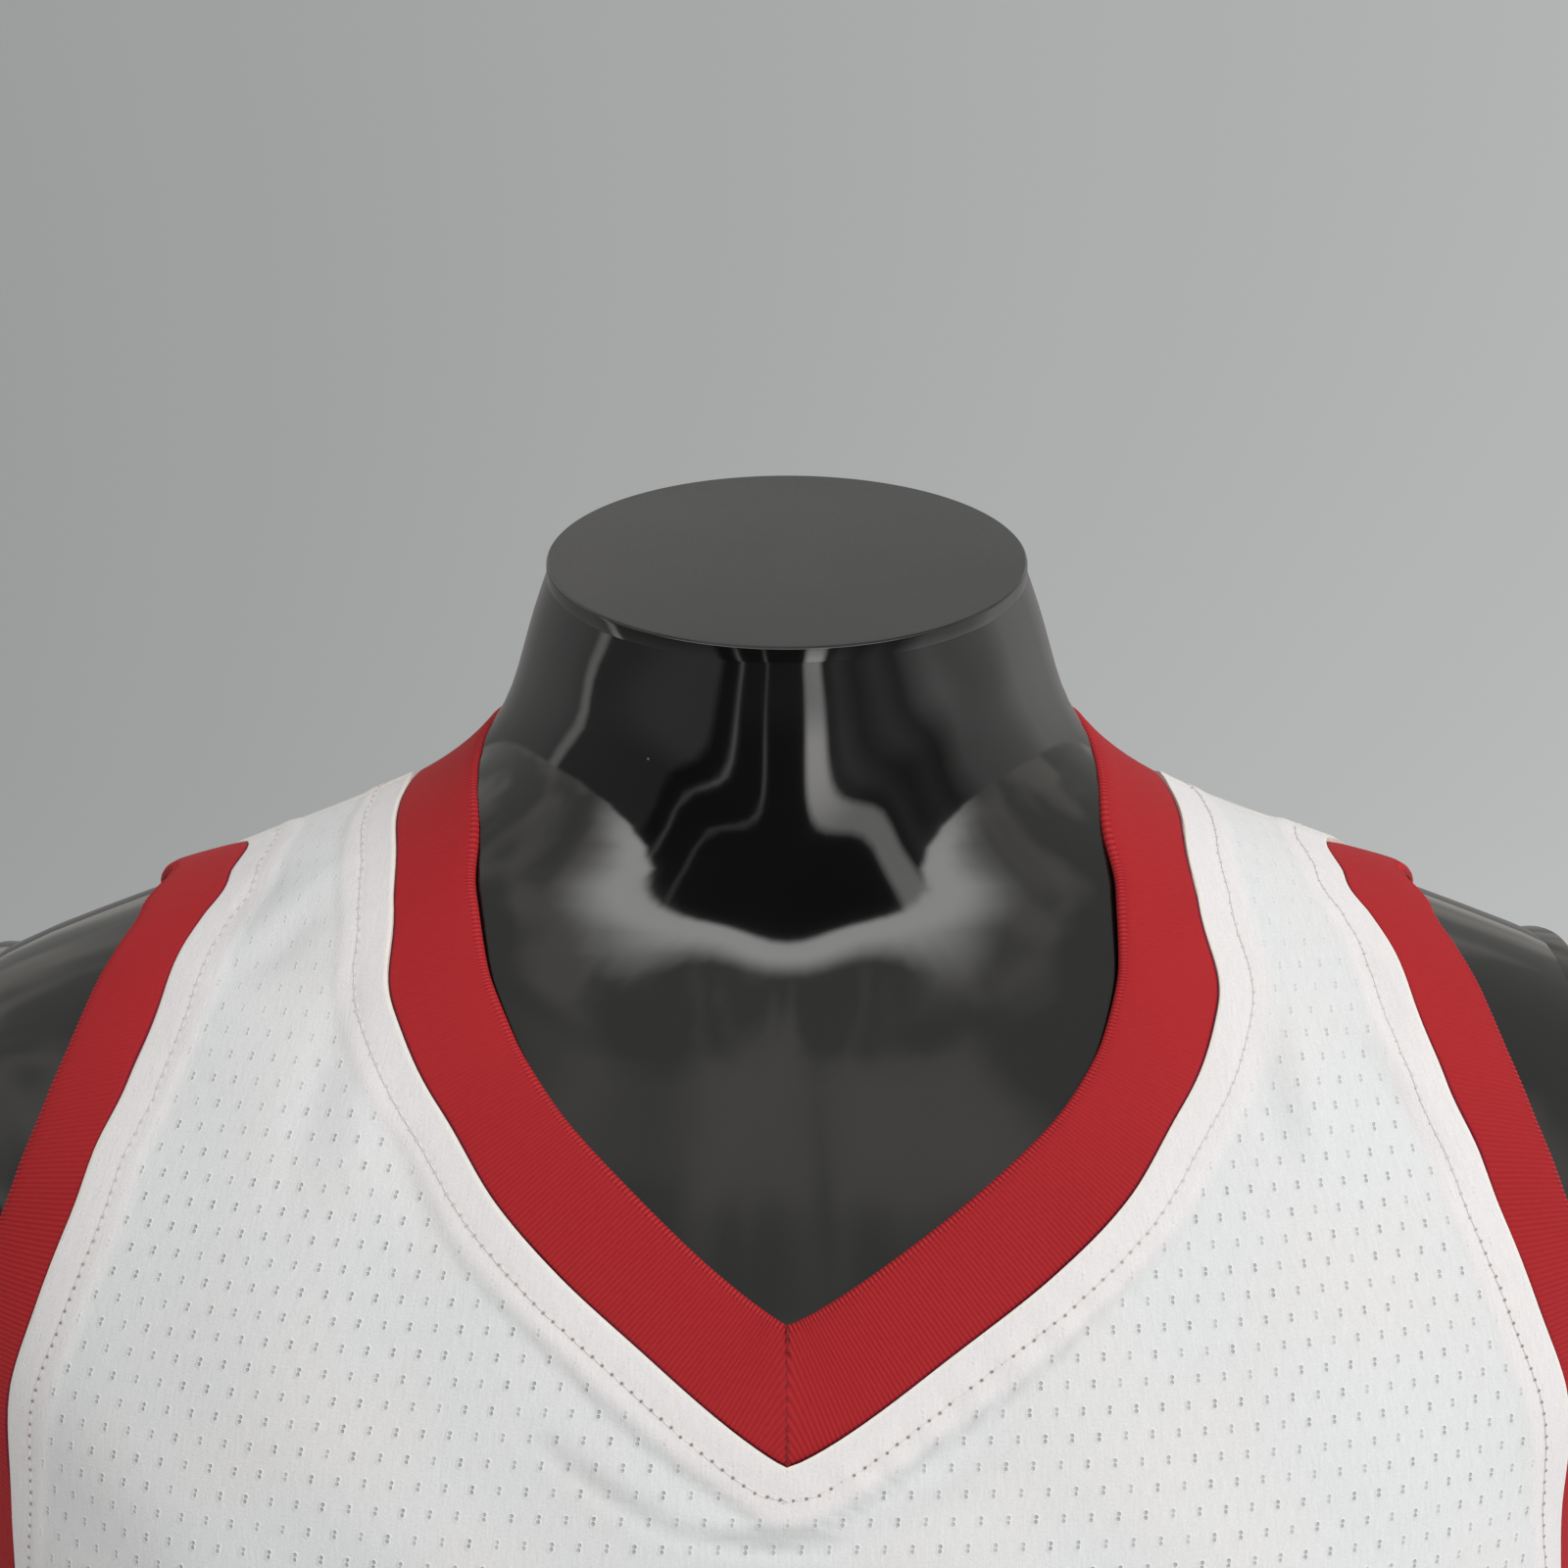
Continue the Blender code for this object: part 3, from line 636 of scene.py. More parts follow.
meshKnit = {
    "holePitch": 0.0054,
    "rowPitch": 0.0062,
    "holeWidth": 0.00038,
    "holeLength": 0.00046,
    "barOffset": 0.00058,
    "lean": 0.22,
    "coolWhite": (0.804, 0.808, 0.805, 1),
    "warmWhite": (0.820, 0.806, 0.800, 1),
    "allowanceWhite": (0.862, 0.830, 0.822, 1),
    "edgeCream": (0.930, 0.880, 0.810, 1),
    "holeGrey": (0.460, 0.462, 0.462, 1),
    "fadeStart": 0.655,     # the holes close up from here to the shoulder
    "fadeEnd": 0.745,
    "walePitch": 0.00062,
    # share by which painted shade darkens the knit in the creases and under the allowance's edge
    "creasePaintedShade": 0.24,
    "wobble": 0.00022,
    "allowanceFade": (0.0115, 0.0155),
    "hemFade": (0.0205, 0.0235),
    "edgeFade": (0.0004, 0.0013),
    "bump": 0.00022,
}


def makeMeshKnit():
    k = meshKnit
    g = surface("white mesh knit")
    place = g.uv("cloth")
    x, y = g.split(place)
    row = g.sum("FLOOR", y / k["rowPitch"])
    odd = g.sum("FLOORED_MODULO", row, 2.0)
    across = x / k["holePitch"] + odd * 0.5
    fx = (across - g.sum("FLOOR", across) - 0.5) * k["holePitch"]
    fy = (y / k["rowPitch"] - row - 0.5) * k["rowPitch"]
    fx = fx - fy * k["lean"] * 0.5
    wobble = g.noise(place, 900.0, 1.0) - 0.5
    fx = fx + wobble * k["wobble"]
    # each hole is two short slits, above and below a bar of yarn
    slits = []
    for way in ("SUBTRACT", "ADD"):
        fromSlit = g.sum(way, fy, k["barOffset"])
        slits.append(g.sum("SQRT", (fx / k["holeWidth"]) ** 2.0 + (fromSlit / k["holeLength"]) ** 2.0))
    hole = g.sum("MINIMUM", *slits)
    neck, arm = g.attribute("neckSeam"), g.attribute("armSeam")
    seam = g.sum("MINIMUM", neck, arm)
    allowance = 1.0 - g.step(seam, *k["allowanceFade"])
    hem = 1.0 - g.step(g.attribute("hemRise"), *k["hemFade"])
    double = g.sum("MAXIMUM", allowance, hem)
    cell = g.node("ShaderNodeCombineXYZ", {}, {0: g.sum("FLOOR", across), 1: row})
    chance = g.node("ShaderNodeTexWhiteNoise", {"noise_dimensions": "2D"}, {"Vector": cell})
    show = (0.50 + chance * 0.45) * (1.0 - g.step(y, k["fadeStart"], k["fadeEnd"]) * 0.75)
    open_ = (1.0 - g.step(hole, 0.50, 1.20)) * (1.0 - double * 0.88) * show
    # a ring round each hole: raised in the bump, and a painted highlight in the colour
    rimLiftAndHighlight = (g.step(hole, 0.9, 1.3) - g.step(hole, 1.3, 2.4)) * (1.0 - double * 0.8) * show
    streaks = g.noise(g.stretch(place, (1 / k["walePitch"], 1 / 0.006, 1.0)), 1.0, 3.0, 0.7)
    fuzz = g.noise(place, 1600.0, 2.0)
    broad = g.noise(g.stretch(place, (1.0, 0.6, 1.0)), 24.0, 2.0)
    colour = g.blend(g.step(broad, 0.42, 0.62), k["coolWhite"], k["warmWhite"])
    colour = g.blend(double, colour, k["allowanceWhite"])
    edge = 1.0 - g.step(g.sum("MINIMUM", seam, g.attribute("plainSeam")), *k["edgeFade"])
    colour = g.blend(edge, colour, k["edgeCream"])
    # the rims' painted highlight lightens the grey
    grey = 0.86 + streaks * 0.20 + (fuzz - 0.5) * 0.16 + rimLiftAndHighlight * 0.10
    # painted shade: darker in the bottoms of the sharp creases and under the allowance's edge
    grey = grey * (1.0 - g.attribute("hollow") * k["creasePaintedShade"])
    tone = g.blend(open_, g.darken(colour, grey), k["holeGrey"])
    relief = streaks * 0.45 + fuzz * 0.45 + rimLiftAndHighlight * 0.9 - open_ * 1.6
    return g.finish({
        "Base Color": tone,
        "Roughness": 0.78 + (fuzz - 0.5) * 0.2,
        "Specular IOR Level": 0.30,
        "Sheen Weight": 0.04,
        "Sheen Roughness": 0.45,
        "Normal": g.bump(relief, k["bump"], 0.8),
    })


ribKnit = {
    "pitch": 0.0013,
    "ridge": (0.430, 0.0185, 0.0230, 1),
    # painted shade in the grooves between the ribs, also used for darker yarn
    "grooveShadeAndTone": (0.230, 0.0070, 0.0100, 1),
    # painted highlight on the ribs of the rolled free edge
    "rolled": (0.640, 0.0400, 0.0460, 1),
    # painted shadow in the seam beside the body; the chain's gaps along the free edge take the same dark
    # colour
    "edge": (0.150, 0.0040, 0.0260, 1),
    "depth": 0.00024,
    "rolledDepth": 0.00036,
    "rolledWidth": 0.0018,
    "plainAbove": 0.735,    # the ribs lie flat and hardly show over the shoulders
    "clearBelow": 0.675,
    "leastShow": 0.12,
    "bump": 0.00014,
}


def makeRibKnit():
    k = ribKnit
    g = surface("red rib knit")
    place = g.uv("cloth")
    x, y = g.split(place)
    rib = g.sum("COSINE", x * (2 * math.pi / k["pitch"])) * 0.5 + 0.5
    show = g.attribute("ribShow")
    fromSeam, fromFree = g.attribute("bandSeam"), g.attribute("bandFree")
    rolled = 1.0 - g.step(fromFree, k["rolledWidth"] * 0.7, k["rolledWidth"] * 1.2)
    yarn = g.noise(g.stretch(place, (1400.0, 420.0, 1.0)), 1.0, 3.0, 0.6)
    broad = g.noise(place, 30.0, 2.0)
    knit = g.noise(place, 1900.0, 2.0)
    # painted shade in the grooves, more where the ribs stand out and in the rolled edge, with yarn and broad
    # tone that differs at random
    grooveShadeAndTone = (1.0 - rib) * (show * 0.34 + rolled * 0.30) + (yarn - 0.5) * 0.35 + (broad - 0.5) * 0.25
    # painted highlight on the ribs of the rolled edge
    colour = g.blend(rolled * rib * 0.7, k["ridge"], k["rolled"])
    colour = g.blend(grooveShadeAndTone, colour, k["grooveShadeAndTone"])
    chain = g.step(fromFree, 0.0012, 0.0016) - g.step(fromFree, 0.0016, 0.0021)
    # the chain's gaps between the ribs are darkened with the same colour
    colour = g.blend(chain * (1.0 - rib) * 0.45, colour, k["edge"])
    # painted shadow: a dark line along the seam
    colour = g.blend((1.0 - g.step(fromSeam, 0.0002, 0.0008)) * 0.85, colour, k["edge"])
    relief = rib * show * 0.6 + yarn * 0.3 + knit * 0.25 - chain * 0.5
    return g.finish({
        "Base Color": colour,
        "Roughness": 0.70 + (yarn - 0.5) * 0.2,
        "Specular IOR Level": 0.32,
        "Sheen Weight": 0.05,
        "Sheen Roughness": 0.4,
        "Sheen Tint": (1.0, 0.35, 0.35, 1),
        "Normal": g.bump(relief, k["bump"], 0.7),
    })


threadRise = (0.655, 0.705)


def makeThread(name, colour, dark, high=None):
    # between these heights the colour goes over to high, where one is given
    g = surface(name)
    spot = g.objectPlace()
    fibre = g.noise(spot, 2600.0, 2.0)
    tone = g.blend(fibre, dark, colour)
    if high:
        rise = g.node("ShaderNodeSeparateXYZ", {}, {0: spot}, 2)
        tone = g.blend(g.step(rise, *threadRise), tone, high)
    return g.finish({
        "Base Color": tone,
        "Roughness": 0.62 + (fibre - 0.5) * 0.2,
        "Sheen Weight": 0.02,
        "Normal": g.bump(fibre, 0.00008, 0.6),
    })


formFinish = {
    "black": (0.0035, 0.0035, 0.0035, 1),
    "dull": (0.0070, 0.0070, 0.0068, 1),
    "dust": (0.30, 0.30, 0.29, 1),
    "satin": (0.0560, 0.0560, 0.0570, 1),
    "satinDull": (0.0420, 0.0420, 0.0420, 1),
}


def makeGlossBlack():
    k = formFinish
    g = surface("black gloss plastic")
    spot = g.objectPlace()
    smear = g.noise(spot, 18.0, 4.0, 0.6)
    grain = g.noise(spot, 420.0, 2.0)
    speck = g.node("ShaderNodeTexVoronoi", {}, {"Vector": spot, "Scale": 90.0})
    rare = g.node("ShaderNodeTexVoronoi", {}, {"Vector": spot, "Scale": 90.0}, 1)
    chance = g.node("ShaderNodeSeparateColor", {}, {"Color": rare})
    dust = (1.0 - g.step(speck, 0.018, 0.040)) * g.step(chance, 0.955, 0.965)
    colour = g.blend(smear, k["black"], k["dull"])
    colour = g.blend(dust, colour, k["dust"])
    ripple = g.noise(spot, 26.0, 1.0)
    return g.finish({
        "Base Color": colour,
        "Roughness": 0.07 + g.step(smear, 0.45, 0.75) * 0.06 + grain * 0.015 + dust * 0.4,
        "Specular IOR Level": 0.5,
        "Coat Weight": 1.0,
        "Coat Roughness": 0.025,
        "Normal": g.bump(ripple, 0.0004, 0.25),
    })


def makeSatinBlack():
    k = formFinish
    g = surface("black satin plastic")
    spot = g.objectPlace()
    grain = g.noise(spot, 900.0, 3.0)
    smear = g.noise(spot, 22.0, 3.0)
    return g.finish({
        "Base Color": g.blend(smear * 0.5, k["satin"], k["satinDull"]),
        "Roughness": 0.34 + grain * 0.10 + smear * 0.08,
        "Specular IOR Level": 0.5,
        "Normal": g.bump(grain, 0.00006, 0.5),
    })


materials = {
    "mesh": makeMeshKnit(),
    "rib": makeRibKnit(),
    "whiteThread": makeThread("white thread", (0.90, 0.87, 0.86, 1), (0.82, 0.78, 0.77, 1)),
    "redThread": makeThread("red thread", (0.30, 0.014, 0.022, 1), (0.13, 0.004, 0.008, 1)),
    # painted shade of the needle holes; paler higher up
    "needleHoleShade": makeThread("needle hole", (0.40, 0.30, 0.26, 1), (0.28, 0.20, 0.17, 1),
                             (0.72, 0.67, 0.65, 1)),
    "gloss": makeGlossBlack(),
    "satin": makeSatinBlack(),
}
print("materials made")


# ---- pieces ----

def newMesh(name, points, faces, finish):
    mesh = bpy.data.meshes.new(name)
    mesh.from_pydata(np.asarray(points).tolist(), [], faces)
    mesh.materials.append(materials[finish])
    mesh.shade_smooth()
    return mesh


def finishMesh(name, builder, finishes, sharp):
    mesh = bpy.data.meshes.new(name)
    builder.to_mesh(mesh)
    builder.free()
    for finish in finishes:
        mesh.materials.append(materials[finish])
    mesh.shade_smooth()
    mesh.set_sharp_from_angle(angle=math.radians(sharp))
    return mesh


def newPiece(name, mesh, nodes=()):
    piece = bpy.data.objects.new(name, mesh)
    scene.collection.objects.link(piece)
    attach(piece, "root")
    if nodes:
        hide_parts(*nodes)
    return piece


def storeUv(mesh, values):
    layer = mesh.uv_layers.new(name="cloth")
    corners = np.empty(len(mesh.loops), dtype=np.int32)
    mesh.loops.foreach_get("vertex_index", corners)
    layer.data.foreach_set("uv", np.asarray(values, np.float32)[corners].ravel())


def storeField(mesh, name, values):
    field = mesh.attributes.new(name, "FLOAT", "POINT")
    field.data.foreach_set("value", np.asarray(values, np.float32).ravel())


def closeShell(faces, count):
    # the same faces inside, and the cut edge between
    known = {edge for face in faces for edge in zip(face, face[1:] + face[:1])}
    rim = [(b, a, a + count, b + count) for a, b in known if (b, a) not in known]
    inside = [tuple(corner + count for corner in reversed(face)) for face in faces]
    return faces + inside + sorted(rim)


panel = {
    "columns": 72,
    "crowding": 0.45,       # how much closer the columns lie near the seams
    "neckSteps": 12,
    "armSteps": 8,
    "rows": 280,
    "rowGrowth": 1.3,       # the rows lie closest under the neckline and the armholes
    "fan": 1.6,             # how fast the knit spreads below the shoulders, per metre
    "fanTop": 0.735,
    "fanLength": 0.16,
}


def halfPanel(side, front):
    # angles and heights of half a panel's grid, centre to side, shoulder to hem
    p = panel
    neck = neckSections(side, p["neckSteps"])
    arm = armSections(p["armSteps"])
    shoulder, underarm = cut["neckShoulder"] * p["neckSteps"], cut["armUnderarm"] * p["armSteps"]
    inner = neck[shoulder::-1, 2:] if front else neck[shoulder:, 2:]
    outer = arm[:underarm + 1, 2:] if front else arm[:underarm - 1:-1, 2:]

    def descend(edge):
        missing = p["rows"] + 1 - len(edge)
        down = np.linspace(0, 1, missing + 1)[1:] ** p["rowGrowth"]
        down = mix(edge[-1, 1], cut["hemHeight"], down)
        return np.vstack([edge, np.column_stack([np.full(missing, edge[-1, 0]), down])])

    seamRows = len(inner)
    inner, outer = descend(inner), descend(outer)
    t = np.linspace(0, 1, p["columns"] + 1)
    share = t - p["crowding"] * np.sin(2 * math.pi * t) / (2 * math.pi)
    eased = np.minimum(np.arange(p["rows"] + 1) / underarm, 1)[:, None]
    angle = mix(inner[:, :1], outer[:, :1], share)
    height = mix(inner[:, 1:], outer[:, 1:], mix(share, ease(share), eased))
    return side * angle, height, seamRows - 1


def knitPlace(u, v):
    spread = ease((panel["fanTop"] - v) / panel["fanLength"]) * panel["fan"] * panel["fanLength"] * 0.8
    return np.stack([u / (1 + spread), v], -1)


def makePanel(name, front, node):
    rows, columns = panel["rows"] + 1, panel["columns"] + 1
    angles, heights, faces = [], [], []
    total = 0
    for side in (1, -1):
        angle, height, tip = halfPanel(side, front)
        ids = np.arange(rows * columns).reshape(rows, columns) + total
        total += rows * columns
        angles.append(angle.ravel())
        heights.append(height.ravel())
        if side == 1:
            firstIds = ids.copy()
        else:
            ids[tip:, 0] = firstIds[tip:, 0]
        flip = (side > 0) != front
        a, b = ids[:-1, :-1].ravel(), ids[1:, :-1].ravel()
        c, d = ids[1:, 1:].ravel(), ids[:-1, 1:].ravel()
        quads = np.stack([d, c, b, a] if flip else [a, b, c, d], -1)
        faces += [tuple(quad) for quad in quads.tolist()]
    angle, height = np.concatenate(angles), np.concatenate(heights)
    used = np.unique(np.array(faces))
    renumber = np.full(total, -1)
    renumber[used] = np.arange(len(used))
    faces = [tuple(int(renumber[corner]) for corner in face) for face in faces]
    angle, height = angle[used], height[used]
    f = clothFields(angle, height, front)
    outer = clothPoint(angle, height, f["reach"])
    inner = clothPoint(angle, height, f["reach"] - cut["panelWall"])
    onSeam = (np.abs(np.abs(angle) - 90) < 1e-6)[:, None]
    gap = np.array([0, (-0.5 if front else 0.5) * cut["seamGap"], 0])
    points = np.vstack([outer + onSeam * gap, inner + onSeam * gap])
    mesh = newMesh(name, points, closeShell(faces, len(used)), "mesh")
    place = knitPlace(f["u"], f["v"])
    storeUv(mesh, np.vstack([place, place]))
    for label, key in (("neckSeam", "neck"), ("armSeam", "arm"), ("plainSeam", "plain"), ("hemRise", "rise"),
                       ("hollow", "hollow")):
        storeField(mesh, label, np.tile(f[key], 2))
    mesh.set_sharp_from_angle(angle=math.radians(60))
    print(name, len(mesh.polygons), "faces")
    return newPiece(name, mesh, [node])


frontPanel = makePanel("front_panel", True, "body_front")
backPanel = makePanel("back_panel", False, "body_back")


band = {
    "ribRows": 4,           # rows of faces to a rib
    "columns": 11,
    "edgeRound": 0.0012,
    "edgeDrop": 0.0011,
    "seamRound": 0.0009,
    "seamDrop": 0.0003,
    "swell": 0.0003,
    "neckStretch": 1.08,    # ribs lie closer round the neck
    "lift": 0.0014,         # an armhole's free edge stands off the shoulder
    "liftLength": 0.045,
    "curl": 0.0009,         # turns down again at the very edge
    "curlWidth": 0.0026,
    "pull": 0.24,           # and is drawn in towards the seam behind it
    "pullLength": 0.055,
    "evening": 20,          # rows over which the sections' turn is evened out
    "crowding": 0.75,
    "rolledBlend": 0.0006,
    "chainWidth": 0.0004,
    "chainDip": 0.00015,
    "liftPower": 1.4,
    "pullStart": 0.008,
    "armSteps": 24,
    "neckSteps": 48,
    "leadRows": 90,         # sections made past the mitre, and how many of them are used
    "leadUsed": 30,
    "leadSlope": 12,
    "centreWidth": 2e-5,
    "weld": 3e-5,
    "sharp": 75,
}


def bandProfile(share, width):
    # how far the outer face drops towards the rolled edge and the seam
    free, seam = share * width, (1 - share) * width
    drop = band["edgeDrop"] * (1 - np.clip(free / band["edgeRound"], 0, 1)) ** 2
    drop = drop + band["seamDrop"] * (1 - np.clip(seam / band["seamRound"], 0, 1)) ** 2
    return band["swell"] * np.sin(math.pi * share) - drop


def bandShares():
    t = np.linspace(0, 1, band["columns"] + 1)
    return t - band["crowding"] * np.sin(2 * math.pi * t) / (2 * math.pi)


def bandGrid(sections, along, lift):
    # outer and inner points of a band whose rows run from the free edge to the seam
    share = bandShares()
    free = basePoint(sections[:, 0], sections[:, 1])
    seam = basePoint(sections[:, 2], sections[:, 3])
    width = np.linalg.norm(seam - free, axis=1)[:, None]
    across = share * (1 - cut["seamGap"] / width)
    angle = mix(sections[:, :1], sections[:, 2:3], across)
    height = mix(sections[:, 1:2], sections[:, 3:], across)
    fromRoll = share * width - ribKnit["rolledWidth"]
    rolled = 1 - ease(fromRoll / band["rolledBlend"] + 0.5)
    rib = 0.5 + 0.5 * np.cos(2 * math.pi * along[:, None] / ribKnit["pitch"])
    clear = (ribKnit["plainAbove"] - height) / (ribKnit["plainAbove"] - ribKnit["clearBelow"])
    show = mix(ribKnit["leastShow"], 1.0, ease(clear))
    depth = mix(ribKnit["depth"] * show, ribKnit["rolledDepth"], rolled)
    chain = np.exp(-(fromRoll / band["chainWidth"]) ** 2) * band["chainDip"]
    curl = (1 - np.clip(share * width / band["curlWidth"], 0, 1)) ** 2 * band["curl"]
    middle = cut["offset"] + foldReach(angle, height)
    middle = middle + lift[:, None] * (band["lift"] * (1 - share) ** band["liftPower"] - curl)
    outer = clothPoint(angle, height, middle + bandProfile(share, width) + (rib - 1) * depth - chain)
    inner = clothPoint(angle, height, middle - cut["bandWall"])
    place = np.stack(np.broadcast_arrays(along[:, None], share * width), -1)
    return outer, inner, place, {"bandFree": share * width, "bandSeam": (1 - share) * width, "ribShow": show}


def gridFaces(rows, columns, flip, closed):
    ids = np.arange(rows * columns).reshape(rows, columns)
    nextIds = np.roll(ids, -1, axis=0) if closed else ids[1:]
    ids = ids if closed else ids[:-1]
    corners = [ids[:, :-1], nextIds[:, :-1], nextIds[:, 1:], ids[:, 1:]]
    quads = np.stack([corner.ravel() for corner in (corners[::-1] if flip else corners)], -1)
    return [tuple(quad) for quad in quads.tolist()]


def bandMesh(name, sections, along, lift, flip, closed):
    outer, inner, place, fields = bandGrid(sections, along, lift)
    rows, columns = outer.shape[:2]
    faces = closeShell(gridFaces(rows, columns, flip, closed), rows * columns)
    mesh = newMesh(name, np.vstack([outer.reshape(-1, 3), inner.reshape(-1, 3)]), faces, "rib")
    storeUv(mesh, np.tile(place.reshape(-1, 2), (2, 1)))
    for label, values in fields.items():
        storeField(mesh, label, np.tile(values.ravel(), 2))
    return mesh


def pathLengths(points):
    return np.concatenate([[0], np.cumsum(np.linalg.norm(np.diff(points, axis=0), axis=1))])


def makeArmRib(name, side, node):
    dense = armSections(band["armSteps"])
    middle = basePoint((dense[:, 0] + dense[:, 2]) / 2, (dense[:, 1] + dense[:, 3]) / 2)
    lengths = pathLengths(middle)
    ribs = round(lengths[-1] / ribKnit["pitch"])
    places = np.arange(ribs * band["ribRows"]) / (ribs * band["ribRows"])
    sections = np.column_stack([np.interp(places * lengths[-1], lengths, column) for column in dense.T])
    sections[:, [0, 2]] *= side
    fromShoulder = np.minimum(places, 1 - places) * lengths[-1]
    lift = np.exp(-(fromShoulder / band["liftLength"]) ** 2)
    pull = band["pull"] * ease(fromShoulder / band["pullStart"])
    pull = pull * np.exp(-(fromShoulder / band["pullLength"]) ** 2)
    pull = np.where(places < 0.5, 0, pull)[:, None]
    sections[:, :2] = mix(sections[:, :2], sections[:, 2:], pull)
    mesh = bandMesh(name, sections, places * ribs * ribKnit["pitch"], lift, side > 0, True)
    mesh.set_sharp_from_angle(angle=math.radians(band["sharp"]))
    print(name, len(mesh.polygons), "faces,", ribs, "ribs")
    return newPiece(name, mesh, [node])


def squareSections(side):
    # sections square to the band, carried on past the mitre so that the mitre cuts the ribs
    dense = neckSections(side, band["neckSteps"])
    slope = band["leadSlope"]
    lead = dense[0] + np.arange(-band["leadRows"], 0)[:, None] * (dense[slope] - dense[0]) / slope
    full = np.vstack([lead, dense])
    free, seam = basePoint(full[:, 0], full[:, 1]), basePoint(full[:, 2], full[:, 3])
    start = len(lead) - band["leadUsed"]
    seamLengths, freeLengths = pathLengths(seam[start:]), pathLengths(free)
    count = round(seamLengths[-1] / ribKnit["pitch"] * band["neckStretch"]) * band["ribRows"]
    places = np.linspace(0, seamLengths[-1], count + 1)
    seamAngle = np.interp(places, seamLengths, full[start:, 2])
    seamHeight = np.interp(places, seamLengths, full[start:, 3])
    nearest = pathDistance(basePoint(seamAngle, seamHeight), free)[1]
    spare = band["evening"]
    nearest = np.pad(np.maximum.accumulate(nearest), spare, mode="edge")
    nearest = np.convolve(nearest, np.full(2 * spare + 1, 1 / (2 * spare + 1)), "valid")
    nearest[-1] = freeLengths[-1]
    freeAngle = np.interp(nearest, freeLengths, full[:, 0])
    freeHeight = np.interp(nearest, freeLengths, full[:, 1])
    along = (np.arange(count + 1) - count) * ribKnit["pitch"] / band["ribRows"]
    return np.column_stack([freeAngle, freeHeight, seamAngle, seamHeight]), along


def makeNeckRib(name, node):
    whole = bmesh.new()
    for side in (1, -1):
        sections, along = squareSections(side)
        sections[:, [0, 2]] *= side
        sections[-1, [0, 2]] = 180.0
        mesh = bandMesh("half", sections, along * side, np.zeros(len(along)), side > 0, False)
        half = bmesh.new()
        half.from_mesh(mesh)
        front = [vert for vert in half.verts if vert.co.y < 0]
        bmesh.ops.bisect_plane(
            half, geom=front + list({edge for vert in front for edge in vert.link_edges})
            + list({face for vert in front for face in vert.link_faces}), dist=1e-7,
            plane_co=(side * cut["seamGap"] / 2, 0, 0), plane_no=(-side, 0, 0), clear_outer=True)
        # the end at the centre back stays open for the other half
        backCaps = [face for face in half.faces if all(abs(vert.co.x) < 1e-5 for vert in face.verts)]
        bmesh.ops.delete(half, geom=backCaps, context="FACES")
        half.to_mesh(mesh)
        half.free()
        whole.from_mesh(mesh)
    centre = [vert for vert in whole.verts if abs(vert.co.x) < band["centreWidth"]]
    bmesh.ops.remove_doubles(whole, verts=centre, dist=band["weld"])
    bmesh.ops.holes_fill(whole, edges=[edge for edge in whole.edges if edge.is_boundary], sides=0)
    finished = finishMesh(name, whole, ["rib"], band["sharp"])
    print(name, len(finished.polygons), "faces")
    return newPiece(name, finished, [node])


neckRib = makeNeckRib("neck_rib", "neckband")
armRibLeft = makeArmRib("arm_rib_left", 1, "armband_left")
armRibRight = makeArmRib("arm_rib_right", -1, "armband_right")


# ---- the display form ----

form = {
    "segments": 176,
    "ringSpacing": 0.005,
    "rounding": 6,          # passes that soften the rings' corners
    "neckRounding": 7,      # and the step from neck to shoulders
    "neckStart": 0.752,
    # soft relief of throat and collar: distance from the centre, height, half length,
    # half width, slope in degrees, rise
    "relief": [
        (0.0300, 0.7800, 0.0330, 0.0080, 52, 0.0008),      # tendon
        (0.0270, 0.7590, 0.0250, 0.0120, 46, 0.0010),      # its foot
        (0.0430, 0.7550, 0.0300, 0.0210, 64, 0.0040),      # web between neck and collar bone
        (0.0000, 0.7400, 0.0110, 0.0120, 0, -0.0010),      # notch
        (0.0190, 0.7320, 0.0100, 0.0076, 16, 0.0012),      # collar bone's head
        (0.0000, 0.6850, 0.0450, 0.0090, 90, -0.0012),     # breast bone
    ],
    "cutReach": {"left": 0.189, "right": 0.197},
    "cutTurn": 12,
    "plateThickness": 0.006,
    "capThickness": 0.004,
    "fit": 0.00005,
    "plateBevel": 0.0012,
    "capBevel": 0.0009,
    "neckBlend": 0.012,
    "sharp": 35,
}


def reliefOf(points):
    # the soft relief pushes the front of the form out or in
    rise = np.zeros(points.shape[:2])
    for away, height, long, wide, slope, depth in form["relief"]:
        cosine, sine = math.cos(math.radians(slope)), math.sin(math.radians(slope))
        for side in (1, -1) if away else (1,):
            across, up = side * points[..., 0] - away, points[..., 2] - height
            reach = ((across * cosine + up * sine) / long) ** 2
            reach = reach + ((up * cosine - across * sine) / wide) ** 2
            rise += depth * np.exp(-reach)
    outward = points * [1, 1, 0]
    outward /= np.linalg.norm(outward, axis=-1, keepdims=True)
    return outward * (rise * (points[..., 1] < 0))[..., None]


